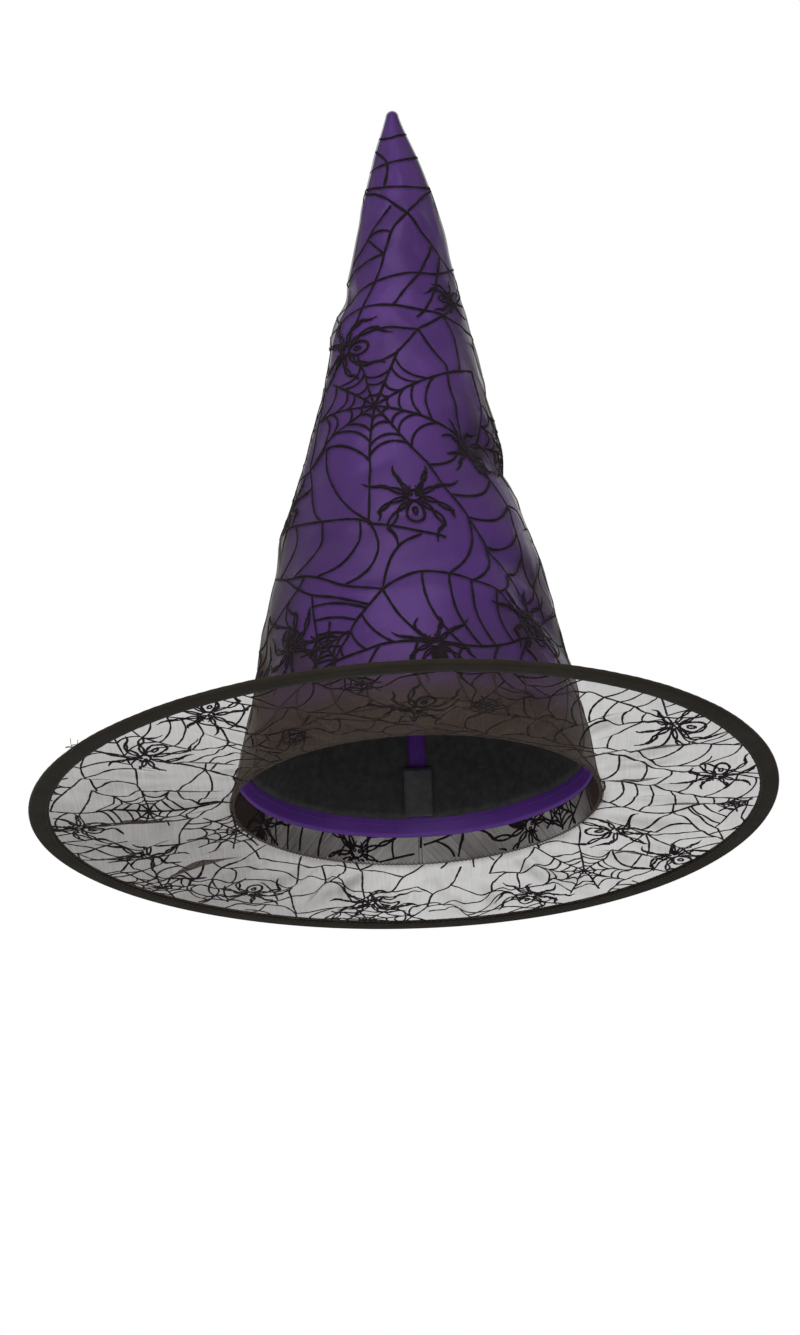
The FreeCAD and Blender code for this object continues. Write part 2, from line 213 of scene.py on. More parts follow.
def crown_grid(rows, turns, inset, loose=0.0, foot=None, top=None, gap=0.0, seed=1):
    """Places of one layer of the crown: (bearings, heights, positions as rows x turns x 3).

    gap is half the width of the slit left open at the back."""
    foot = FOOT_Z if foot is None else foot
    if top is None:
        side = np.linspace(foot, SHOULDER_Z, rows)
        arc = np.linspace(0, math.pi / 2, TIP_RINGS)[1:-1]
        height = np.concatenate([side, SHOULDER_Z + (TIP_R - inset) * np.sin(arc)])
        radius = np.concatenate([FOOT_R - SLOPE * (side - FOOT_Z) - inset, (TIP_R - inset) * np.cos(arc)])
    else:
        height = np.linspace(foot, top, rows)
        radius = FOOT_R - SLOPE * (height - FOOT_Z) - inset
    if gap:
        b = np.linspace(-1, 1, turns) * (math.pi - gap / radius)[:, None]
    else:
        b = np.tile(np.linspace(-math.pi, math.pi, turns + 1)[:-1], (len(height), 1))
    h, r = (np.tile(values[:, None], (1, turns)) for values in (height, radius))
    return b, h, crown_places(b, h, r, loose, seed)


def crown_places(b, h, r, loose=0.0, seed=1):
    """Bends and fills a plain cone of bearings, heights and radii to the hat's own soft shape."""
    flat_x, flat_y = np.sin(b) * 0.06, np.cos(b) * 0.06
    above_foot = np.clip((h - FOOT_Z) / EASE, 0, 1)
    free = above_foot * np.clip((TOP_Z - h) / EASE, 0, 1)
    soft = 0.0009 * rough(flat_x, flat_y, h, 0.035, 2) + 0.00055 * rough(flat_x, flat_y, h, 0.015, 5)
    dents = soft - CREASE_STRENGTH * creased(CREASES, b, h)
    r = r + FULLNESS(h) * np.clip((TOP_Z - h) / 0.02, 0, 1) + free * dents
    if loose:
        own = 0.55 + 0.5 * rough(flat_x, flat_y, h * 0.45, 0.021, seed)
        own = own + 0.35 * rough(flat_x, flat_y, h, 0.012, seed + 4)
        r = r + free * (loose * np.clip(own, 0.0, 1.4) + creased(SHEER_FOLDS, b, h))
    x = AXIS_X + LEAN(h) * above_foot + r * np.sin(b)
    return np.stack([x, -r * np.cos(b), h], -1)


def on_crown(bearings, heights, inset):
    """Places and outward directions on a crown layer, along a path of bearings and heights."""
    b, h = (np.atleast_2d(np.asarray(v, float)) for v in np.broadcast_arrays(bearings, heights))
    r = FOOT_R - SLOPE * (h - FOOT_Z) - inset
    places = crown_places(b, h, r)[0]
    out = np.stack([np.sin(b), -np.cos(b), np.full_like(b, SLOPE)], -1)[0] / SLANT
    return places, out


# ---------------------------------------------------------------- making meshes
def new_object(name, data):
    """A new object in the scene."""
    thing = bpy.data.objects.new(name, data)
    bpy.context.scene.collection.objects.link(thing)
    return thing


def new_mesh(name, points, faces, material=None, flat=None):
    """A mesh object with smooth faces, and with its flat cut as a UV map, one pair for each corner."""
    mesh = bpy.data.meshes.new(name)
    mesh.from_pydata([tuple(p) for p in points], [], faces)
    mesh.shade_smooth()
    if flat is not None:
        layer = mesh.uv_layers.new(name="flat_cut")
        layer.uv.foreach_set("vector", np.asarray(flat, np.float32).ravel())
    if material:
        mesh.materials.append(material)
    return new_object(name, mesh)


def apply_modifiers(thing):
    """Bakes an object's modifiers into its mesh."""
    seen = thing.evaluated_get(bpy.context.evaluated_depsgraph_get())
    mesh = bpy.data.meshes.new_from_object(seen)
    thing.modifiers.clear()
    old, thing.data = thing.data, mesh
    mesh.name = thing.name
    bpy.data.meshes.remove(old)
    return thing


def solidify(thing, thickness, offset=-1.0):
    """Gives a sheet its thickness: inwards, or to both sides if offset is 0."""
    modifier = thing.modifiers.new("cloth", "SOLIDIFY")
    modifier.thickness = thickness
    modifier.offset = offset
    return apply_modifiers(thing)


def cone_sheet(name, grid, material, closed=True, tip=True):
    """A crown layer as a mesh, with its flat cut as UVs. closed joins it round the back."""
    bearing, height, places = grid
    rows, turns = bearing.shape
    points = list(places.reshape(-1, 3))
    step = 2 * math.pi / turns
    faces, cuts = [], []

    def cut(row, turn):
        return flat_of(bearing[row, 0] + turn * step if closed else bearing[row, turn], height[row, 0])

    for i in range(rows - 1):
        for j in range(turns if closed else turns - 1):
            k = (j + 1) % turns
            faces.append((i * turns + j, i * turns + k, (i + 1) * turns + k, (i + 1) * turns + j))
            cuts += [cut(i, j), cut(i, j + 1), cut(i + 1, j + 1), cut(i + 1, j)]
    if tip:
        last, top = rows - 1, places[-1].mean(0)
        points.append((top[0], top[1], height[last, 0] + 0.00008))
        for j in range(turns):
            faces.append((last * turns + j, last * turns + (j + 1) % turns, len(points) - 1))
            cuts += [cut(last, j), cut(last, j + 1), cut(last, j + 0.5)]
    return new_mesh(name, points, faces, material, cuts)


def read_points(thing, what):
    """The place ("co") or direction ("normal") of each point of a mesh."""
    values = np.zeros(len(thing.data.vertices) * 3)
    thing.data.vertices.foreach_get(what, values)
    return values.reshape(-1, 3)


def set_density(thing, values):
    """How closely the sheer's threads lie at each point, for its material."""
    closeness = thing.data.attributes.new("closeness", "FLOAT", "POINT")
    closeness.data.foreach_set("value", np.asarray(values, np.float32).ravel())


def sweep_ring(name, profile, turns, material, wobble=None):
    """A closed profile of (radius, height) points carried round the hoop. wobble moves each point."""
    points, faces, cuts = [], [], []
    count = len(profile)
    for j in range(turns):
        a = 2 * math.pi * j / turns
        for r, z in profile:
            if wobble:
                r, z = wobble(a, r, z)
            x, y = r * math.cos(a), r * math.sin(a)
            points.append((x, y, z + hoop_dip(x, y)))
    edge = np.cumsum([0] + [math.dist(profile[i], profile[(i + 1) % count]) for i in range(count)])
    for j in range(turns):
        for i in range(count):
            ni, nj = (i + 1) % count, (j + 1) % turns
            faces.append((j * count + i, nj * count + i, nj * count + ni, j * count + ni))
            u0, u1 = TAPE_R * 2 * math.pi * j / turns, TAPE_R * 2 * math.pi * (j + 1) / turns
            cuts += [(u0, edge[i]), (u1, edge[i]), (u1, edge[i + 1]), (u0, edge[i + 1])]
    return new_mesh(name, points, faces, material, cuts)


# ---------------------------------------------------------------- shader groups and materials
def new_group(name, kind, inputs, outputs):
    """A node group: (group, its input node, its output node). Inputs are (name, kind, value or None)."""
    group = bpy.data.node_groups.new(name, kind)
    for label, socket_kind, value in inputs:
        socket = group.interface.new_socket(label, in_out="INPUT", socket_type="NodeSocket" + socket_kind)
        if value is not None:
            socket.default_value = value
    for label, socket_kind in outputs:
        group.interface.new_socket(label, in_out="OUTPUT", socket_type="NodeSocket" + socket_kind)
    return group, group.nodes.new("NodeGroupInput"), group.nodes.new("NodeGroupOutput")


def add(tree, kind, links=(), **values):
    """A node with its properties and inputs set. links are (input name or index, a socket or node)."""
    node = tree.nodes.new(kind)
    for key, value in values.items():
        if hasattr(node, key):
            setattr(node, key, value)
        else:
            node.inputs[key.replace("_", " ")].default_value = value
    for socket, source in links:
        tree.links.new(getattr(source, "outputs", [source])[0], node.inputs[socket])
    return node


def maths(tree, operation, a, b=None, clamp=False):
    """The result of a sum on numbers or sockets."""
    node = add(tree, "ShaderNodeMath", operation=operation, use_clamp=clamp)
    for i, value in enumerate((a, b)):
        if isinstance(value, (int, float)):
            node.inputs[i].default_value = value
        elif value is not None:
            tree.links.new(value, node.inputs[i])
    return node.outputs[0]


def build_weave():
    """Plain weave on the flat cut: threads of one pitch each way, over and under."""
    inputs = [("Place", "Vector", None), ("Pitch", "Float", 0.0005), ("Slub", "Float", 0.3)]
    outputs = [("Height", "Float"), ("Streak", "Float")]
    group, gin, gout = new_group("weave", "ShaderNodeTree", inputs, outputs)
    split = add(group, "ShaderNodeSeparateXYZ", [(0, gin.outputs["Place"])])
    turns = maths(group, "DIVIDE", math.pi, gin.outputs["Pitch"])
    u, v = (maths(group, "MULTIPLY", split.outputs[i], turns) for i in (0, 1))
    across, along = (maths(group, "SINE", w) for w in (u, v))
    raised = maths(group, "ABSOLUTE", maths(group, "MULTIPLY", across, along))
    stretch = add(group, "ShaderNodeMapping", [("Vector", gin.outputs["Place"])], vector_type="POINT")
    stretch.inputs["Scale"].default_value = (900, 35, 1)
    slub = add(group, "ShaderNodeTexNoise", [("Vector", stretch)], Scale=1.0, Detail=2.0)
    streak = maths(group, "MULTIPLY", slub.outputs["Fac"], gin.outputs["Slub"])
    group.links.new(maths(group, "ADD", raised, streak), gout.inputs["Height"])
    group.links.new(slub.outputs["Fac"], gout.inputs["Streak"])
    return group


def build_cloud():
    """Broad, soft unevenness over the object, for dye and handling marks."""
    inputs = [("Size", "Float", 0.05), ("Low", "Float", 0.0), ("High", "Float", 1.0)]
    group, gin, gout = new_group("cloud", "ShaderNodeTree", inputs, [("Value", "Float")])
    place = add(group, "ShaderNodeTexCoord")
    scale = maths(group, "DIVIDE", 1.0, gin.outputs["Size"])
    cloud = add(group, "ShaderNodeTexNoise", [("Vector", place.outputs["Object"]), ("Scale", scale)],
                Detail=3.0)
    low, high = (gin.outputs[name] for name in ("Low", "High"))
    limits = [("Value", cloud.outputs["Fac"]), ("To Min", low), ("To Max", high)]
    ranged = add(group, "ShaderNodeMapRange", limits, From_Min=0.3, From_Max=0.7)
    group.links.new(ranged.outputs[0], gout.inputs["Value"])
    return group


WEAVE = build_weave()
CLOUD = build_cloud()


def use(tree, group, links=(), **values):
    """A group used as a node, with its inputs linked or set."""
    node = tree.nodes.new("ShaderNodeGroup")
    node.node_tree = group
    for key, value in values.items():
        node.inputs[key].default_value = value
    for socket, source in links:
        tree.links.new(source, node.inputs[socket])
    return node


def new_material(name, rough_low, rough_high, dark, light, cloud_size=0.03, **shader):
    """A material whose colour and roughness drift between two values over the surface."""
    material = bpy.data.materials.new(name)
    material.use_nodes = True
    tree = material.node_tree
    body = tree.nodes["Principled BSDF"]
    for key, value in shader.items():
        body.inputs[key.replace("_", " ")].default_value = value
    cloud = use(tree, CLOUD, Size=cloud_size)
    mix = add(tree, "ShaderNodeMix", [("Factor", cloud)], data_type="RGBA")
    mix.inputs["A"].default_value = (*dark, 1)
    mix.inputs["B"].default_value = (*light, 1)
    tree.links.new(mix.outputs["Result"], body.inputs["Base Color"])
    rough_value = use(tree, CLOUD, Size=cloud_size * 0.7, Low=rough_low, High=rough_high)
    tree.links.new(rough_value.outputs[0], body.inputs["Roughness"])
    return material, tree, body


def add_weave(tree, body, pitch, strength, depth, slub=0.3):
    """Raises the threads of the cloth, and gives back the weave's node."""
    place = add(tree, "ShaderNodeTexCoord")
    weave = use(tree, WEAVE, [("Place", place.outputs["UV"])], Pitch=pitch, Slub=slub)
    bump = add(tree, "ShaderNodeBump", [("Height", weave.outputs["Height"])], Strength=strength,
               Distance=depth)
    tree.links.new(bump.outputs[0], body.inputs["Normal"])
    return weave


def satin_material():
    """Purple satin: its shine is a little darker and purpler than a bare highlight, as on dyed thread."""
    dark, light = (0.066, 0.018, 0.172), (0.102, 0.030, 0.250)
    material, tree, body = new_material("purple satin", 0.30, 0.42, dark, light, cloud_size=0.04,
                                        Specular_IOR_Level=0.75, Anisotropic=0.35)
    body.inputs["Specular Tint"].default_value = (0.6, 0.4, 1.0, 1)
    add_weave(tree, body, 0.00035, 0.25, 0.00012, slub=0.6)
    return material


def sheer_material(name, dark, light):
    """Black sheer: open weave, so part of what is behind it shows through, less where it is gathered."""
    material, tree, body = new_material(name, 0.55, 0.7, dark, light, Specular_IOR_Level=0.10)
    weave = add_weave(tree, body, 0.0006, 0.2, 0.0001)
    cloud = use(tree, CLOUD, Size=0.02, Low=-0.03, High=0.03)
    streak = maths(tree, "MULTIPLY", maths(tree, "SUBTRACT", weave.outputs["Streak"], 0.5), 0.14)
    density = add(tree, "ShaderNodeAttribute", attribute_name="closeness", attribute_type="GEOMETRY")
    uneven = maths(tree, "ADD", cloud.outputs[0], streak)
    tree.links.new(maths(tree, "ADD", density.outputs["Fac"], uneven, clamp=True), body.inputs["Alpha"])
    return material


def plain_cloth(name, dark, light, pitch=0.0005, bump=0.35, rough_range=(0.75, 0.9), **shader):
    """Cloth, tape or thread in one colour."""
    material, tree, body = new_material(name, *rough_range, dark, light, **shader)
    add_weave(tree, body, pitch, bump, 0.0002)
    return material


SATIN = satin_material()
CROWN_SHEER = sheer_material("crown sheer", (0.030, 0.020, 0.016), (0.044, 0.030, 0.024))
BRIM_SHEER = sheer_material("brim sheer", (0.044, 0.030, 0.022), (0.064, 0.045, 0.033))
FLOCK = new_material("black flock", 0.85, 0.95, (0.007, 0.0042, 0.0068), (0.012, 0.008, 0.011),
                     cloud_size=0.004, Specular_IOR_Level=0.08, Sheen_Weight=0.03)[0]
BINDING = plain_cloth("black binding", (0.0125, 0.0096, 0.0062), (0.0175, 0.0138, 0.0092), pitch=0.0007,
                      bump=0.5, cloud_size=0.02, Specular_IOR_Level=0.14, Sheen_Weight=0.02)
BLACK_THREAD = plain_cloth("black thread", (0.008, 0.007, 0.0075), (0.02, 0.018, 0.018), pitch=0.0003,
                           rough_range=(0.45, 0.6), cloud_size=0.004)
PURPLE_THREAD = plain_cloth("purple thread", (0.07, 0.03, 0.17), (0.12, 0.05, 0.26), pitch=0.0003,
                            rough_range=(0.45, 0.6), cloud_size=0.004)
LINING = plain_cloth("stiff interlining", (0.012, 0.012, 0.013), (0.03, 0.03, 0.032), pitch=0.0012,
                     cloud_size=0.004)
LABEL = plain_cloth("label ribbon", (0.045, 0.045, 0.048), (0.070, 0.070, 0.074), pitch=0.0004,
                    cloud_size=0.006)
STEEL = new_material("spring steel", 0.25, 0.4, (0.5, 0.5, 0.52), (0.62, 0.62, 0.63),
                     cloud_size=0.01, Metallic=1.0)[0]
BRASS = new_material("sleeve brass", 0.25, 0.4, (0.6, 0.42, 0.18), (0.72, 0.54, 0.26),
                     cloud_size=0.005, Metallic=1.0)[0]


# ---------------------------------------------------------------- geometry node trees
def new_tree(name, **sockets):
    """A geometry tree whose inputs are a mesh, the given ones and a material."""
    inputs = [(label, kind, None) for label, kind in {"Geometry": "Geometry", **sockets}.items()]
    inputs.append(("Material", "Material", None))
    return new_group(name, "GeometryNodeTree", inputs, [("Geometry", "Geometry")])


def run_tree(thing, tree, **values):
    """Runs a tree on an object with its inputs set by name, and keeps the plain mesh."""
    modifier = thing.modifiers.new(tree.name, "NODES")
    modifier.node_group = tree
    for item in tree.interface.items_tree:
        if item.in_out == "INPUT" and item.name.replace(" ", "_") in values:
            modifier[item.identifier] = values[item.name.replace(" ", "_")]
    thing.update_tag()
    bpy.context.view_layer.update()
    return apply_modifiers(thing)


def attribute(tree, name, kind="FLOAT"):
    """A named value of the mesh, as a socket."""
    return add(tree, "GeometryNodeInputNamedAttribute", data_type=kind, Name=name).outputs["Attribute"]


def vector_maths(tree, operation, a, b):
    """The result of a sum on vector sockets."""
    second = "Scale" if operation == "SCALE" else 1
    return add(tree, "ShaderNodeVectorMath", [(0, a), (second, b)], operation=operation).outputs[0]


def tube_along(tree, curve, radius):
    """A capped round tube along each line, as wide as its points say."""
    section = add(tree, "GeometryNodeCurvePrimitiveCircle", Resolution=5, Radius=1.0)
    shapes = [("Curve", curve), ("Profile Curve", section), ("Scale", radius)]
    return add(tree, "GeometryNodeCurveToMesh", shapes, Fill_Caps=True)


def finish_tree(tree, shape, gin, gout):
    """Ends a tree: smooth, real geometry with its material."""
    smooth = add(tree, "GeometryNodeSetShadeSmooth", [("Geometry", shape)])
    real = add(tree, "GeometryNodeRealizeInstances", [("Geometry", smooth)])
    paint = add(tree, "GeometryNodeSetMaterial", [("Geometry", real),
                                                  ("Material", gin.outputs["Material"])])
    tree.links.new(paint.outputs[0], gout.inputs[0])


def build_flock_tree():
    """Raised lines of flock: drawn on the flat cut, then laid on the cloth by its UV map."""
    tree, gin, gout = new_tree("flock", Cloth="Object", Lift="Float", Flatness="Float")
    line = add(tree, "GeometryNodeMeshToCurve", [("Mesh", gin.outputs["Geometry"])])
    half_width = attribute(tree, "half_width")
    sized = add(tree, "GeometryNodeSetCurveRadius", [("Curve", line), ("Radius", half_width)])
    tube = tube_along(tree, sized, half_width)
    cloth = add(tree, "GeometryNodeObjectInfo", [("Object", gin.outputs["Cloth"])])
    place = tree.nodes.new("GeometryNodeInputPosition").outputs[0]
    normal = tree.nodes.new("GeometryNodeInputNormal").outputs[0]
    found = []
    for value in (place, normal):
        cut = attribute(tree, "flat_cut", "FLOAT_VECTOR")
        links = [("Mesh", cloth.outputs["Geometry"]), ("Value", value), ("UV Map", cut), ("Sample UV", place)]
        found.append(add(tree, "GeometryNodeSampleUVSurface", links, data_type="FLOAT_VECTOR"))
    height = add(tree, "ShaderNodeSeparateXYZ", [(0, place)]).outputs["Z"]
    raised = maths(tree, "ADD", maths(tree, "MULTIPLY", height, gin.outputs["Flatness"]), gin.outputs["Lift"])
    out = vector_maths(tree, "SCALE", found[1].outputs["Value"], raised)
    laid = vector_maths(tree, "ADD", found[0].outputs["Value"], out)
    moved = add(tree, "GeometryNodeSetPosition", [("Geometry", tube), ("Position", laid)])
    finish_tree(tree, moved.outputs[0], gin, gout)
    return tree


def build_stitch_tree():
    """A row of stitches along a path whose points say which way the cloth faces."""
    tree, gin, gout = new_tree("stitch row", Pitch="Float", Stitch="Float", Thread="Float", Slant="Float")
    path = add(tree, "GeometryNodeMeshToCurve", [("Mesh", gin.outputs["Geometry"])])
    pitch = [("Curve", path), ("Length", gin.outputs["Pitch"])]
    spaced = add(tree, "GeometryNodeResampleCurve", pitch, mode="LENGTH")
    half = maths(tree, "MULTIPLY", gin.outputs["Stitch"], 0.5)
    corners = []
    for side, rise in ((-1, -0.6), (0, 2.2), (1, -0.6)):
        along = maths(tree, "MULTIPLY", half, side)
        high = maths(tree, "MULTIPLY", gin.outputs["Thread"], rise)
        corners.append(add(tree, "ShaderNodeCombineXYZ", [("X", along), ("Z", high)]))
    ends = zip(("Start", "Middle", "End"), corners)
    arch = add(tree, "GeometryNodeCurveQuadraticBezier", ends, Resolution=5)
    section = add(tree, "GeometryNodeCurvePrimitiveCircle", [("Radius", gin.outputs["Thread"])], Resolution=5)
    shapes = [("Curve", arch), ("Profile Curve", section)]
    stitch = add(tree, "GeometryNodeCurveToMesh", shapes, Fill_Caps=True)
    tangent = tree.nodes.new("GeometryNodeInputTangent").outputs[0]
    axes = [("Primary Axis", attribute(tree, "facing", "FLOAT_VECTOR")), ("Secondary Axis", tangent)]
    facing = add(tree, "FunctionNodeAxesToRotation", axes, primary_axis="Z", secondary_axis="X")
    turn = add(tree, "FunctionNodeAxisAngleToRotation", [("Angle", gin.outputs["Slant"])], Axis=(0, 0, 1))
    lay = add(tree, "FunctionNodeRotateRotation", [(0, facing), (1, turn)],
              rotation_space="LOCAL")
    laid = [("Points", spaced), ("Instance", stitch), ("Rotation", lay)]
    rows = add(tree, "GeometryNodeInstanceOnPoints", laid)
    finish_tree(tree, rows.outputs[0], gin, gout)
    return tree


def build_thread_tree():
    """Loose thread: a round section along each line."""
    tree, gin, gout = new_tree("loose thread")
    line = add(tree, "GeometryNodeMeshToCurve", [("Mesh", gin.outputs["Geometry"])])
    tube = tube_along(tree, line, attribute(tree, "half_width"))
    finish_tree(tree, tube.outputs[0], gin, gout)
    return tree


FLOCK_TREE = build_flock_tree()
THREAD_TREE = build_thread_tree()
STITCH_TREE = build_stitch_tree()


def path_object(name, lines, **attributes):
    """Polylines as a mesh of edges. Each attribute is one list of values for each line."""
    points, edges = [], []
    for line in lines:
        start = len(points)
        points += [tuple(p) for p in line]
        edges += [(start + i, start + i + 1) for i in range(len(line) - 1)]
    mesh = bpy.data.meshes.new(name)
    mesh.from_pydata(points, edges, [])
    for key, values in attributes.items():
        flat = [np.asarray(v, np.float32).reshape(len(line), -1) for v, line in zip(values, lines)]
        flat = np.concatenate(flat)
        kind, field = ("FLOAT", "value") if flat.shape[1] == 1 else ("FLOAT_VECTOR", "vector")
        mesh.attributes.new(key, kind, "POINT").data.foreach_set(field, flat.ravel())
    return new_object(name, mesh)


def stitch_rows(name, rows, material, pitch=0.0034, stitch=0.0026, thread=0.00022, slant=0.0, closed=False):
    """Rows of stitches. Each row is (places, outward directions)."""
    paths, facings = [], []
    for path, facing in rows:
        path, facing = ([tuple(p) for p in values] for values in (path, facing))
        paths.append(path + path[:1] if closed else path)
        facings.append(facing + facing[:1] if closed else facing)
    thing = path_object(name, paths, facing=facings)
    return run_tree(thing, STITCH_TREE, Pitch=pitch, Stitch=stitch, Thread=thread, Slant=slant,
                    Material=material)


# ---------------------------------------------------------------- the web and spider print
class Print:
    """Lines on a flat cut, kept inside its outline. inside(x, y) says which places are on the cloth."""

    def __init__(self, inside, seed):
        self.inside, self.lines, self.widths = inside, [], []
        self.random, self.fray = np.random.default_rng(seed), np.random.default_rng(seed + 50)

    def draw(self, points, start_width, end_width=None, step=0.0024):
        """One line through points, cut where it leaves the cloth. Its width changes evenly and frays."""
        points = np.asarray(points, float)
        along = np.concatenate([[0], np.cumsum(np.hypot(*np.diff(points, axis=0).T))])
        if along[-1] < 1e-5:
            return
        count = max(len(points), int(along[-1] / step) + 2)
        at = np.linspace(0, along[-1], count)
        line = np.stack([np.interp(at, along, points[:, i]) for i in (0, 1)], 1)
        width = np.linspace(start_width, start_width if end_width is None else end_width, count) / 2
        width = width * (1 + self.fray.uniform(-FRAY, FRAY, count))
        on = self.inside(line[:, 0], line[:, 1])
        starts = np.flatnonzero(on & ~np.concatenate([[False], on[:-1]]))
        ends = np.flatnonzero(on & ~np.concatenate([on[1:], [False]]))
        for a, b in zip(starts, ends):
            if b - a >= 2:
                self.lines.append([(x, y, 0.0) for x, y in line[a:b + 1]])
                self.widths.append(width[a:b + 1])

    def outline(self, centre, radii, turn, width, pinch=0.0, count=22):
        """A closed oval, narrower towards one end by pinch."""
        t = np.linspace(0, 2 * math.pi, count)
        x = radii[0] * np.sin(t) * (1 + pinch * np.cos(t))
        y = radii[1] * np.cos(t)
        self.draw(self.place(np.stack([x, y], 1) + centre, turn), width, step=0.001)

    def place(self, points, turn):
        """Points of a small drawing put on the cut. turn is (middle, angle, size)."""
        (x, y), angle, size = turn
        c, s = math.cos(angle), math.sin(angle)
        points = np.asarray(points, float) * size
        return np.stack([x + points[:, 0] * c - points[:, 1] * s, y + points[:, 0] * s + points[:, 1] * c], 1)

    def spider(self, centre, degrees=0.0, size=1.0, solid=False):
        """A spider seen from above, its head towards +Y before it is turned."""
        turn = (centre, math.radians(degrees), size * 0.001)
        random = self.random
        fine = 0.0014 * math.sqrt(size)
        for share in (1, 0.76, 0.52, 0.28) if solid else (1,):
            self.outline((0, -8.6), (4.3 * share, 6.6 * share), turn, fine * 1.15, pinch=-0.18)
        self.outline((0, 1.2), (3.5, 3.3), turn, fine * 1.1)
        self.outline((0, -8.2), (1.0, 2.4), turn, fine, pinch=0.5, count=14)
        for side in (-1, 1):
            self.outline((side * 1.5, 1.9), (0.8, 0.8), turn, fine * 0.8, count=10)
        for side in (-1, 1):
            feeler = [(side * 1.2, 4.2), (side * 1.9, 5.9), (side * 1.1, 7.2)]
            self.draw(self.place(feeler, turn), fine, fine * 0.5, step=0.001)
            for leg in LEGS:
                joints = np.array(leg, float) * (side, 1)
                stray = random.uniform(-1.3, 1.3, (len(joints) - 1, 2))
                joints[1:] += stray * np.arange(1, len(joints))[:, None] * 0.6
                self.leg(joints, turn, fine)

    def leg(self, joints, turn, fine):
        """Two thick lengths drawn as long ovals, then one tapering claw."""
        for i in range(len(joints) - 2):
            a, b = joints[i], joints[i + 1]
            side = np.array([b[1] - a[1], a[0] - b[0]]) * 0.13
            t = np.linspace(0, 1, 8)[:, None]
            for bulge in (1.0, -1.0):
                line = a + (b - a) * t + side * bulge * np.sin(math.pi * t) ** 0.7
                self.draw(self.place(line, turn), fine * 0.95, step=0.0012)
        a, b = joints[-2], joints[-1]
        t = np.linspace(0, 1, 7)[:, None]
        bend = np.array([b[1] - a[1], a[0] - b[0]]) * 0.12 * np.sign(a[0] + 1e-6)
        claw = a + (b - a) * t + bend * np.sin(math.pi * t)
        self.draw(self.place(claw, turn), fine * 1.7, fine * 0.45, step=0.0012)

    def lay(self, name, cloth, lift=0.00012, flatness=0.42):
        """Raises the lines and lays them on the cloth."""
        thing = path_object(name, self.lines, half_width=self.widths)
        return run_tree(thing, FLOCK_TREE, Cloth=cloth, Lift=lift, Flatness=flatness, Material=FLOCK)


# The joints of a spider's legs on one side, in millimetres from the middle of its body.
LEGS = [
    [(2.2, 3.6), (5.6, 9.5), (7.4, 15.0), (7.0, 20.5)],
    [(3.3, 2.2), (10.5, 7.2), (16.0, 10.0), (23.5, 15.5)],
    [(3.5, 0.2), (11.5, -1.6), (17.5, -6.0), (20.5, -13.5)],
    [(2.8, -2.4), (8.8, -8.0), (13.2, -17.0), (11.0, -28.0)],
]

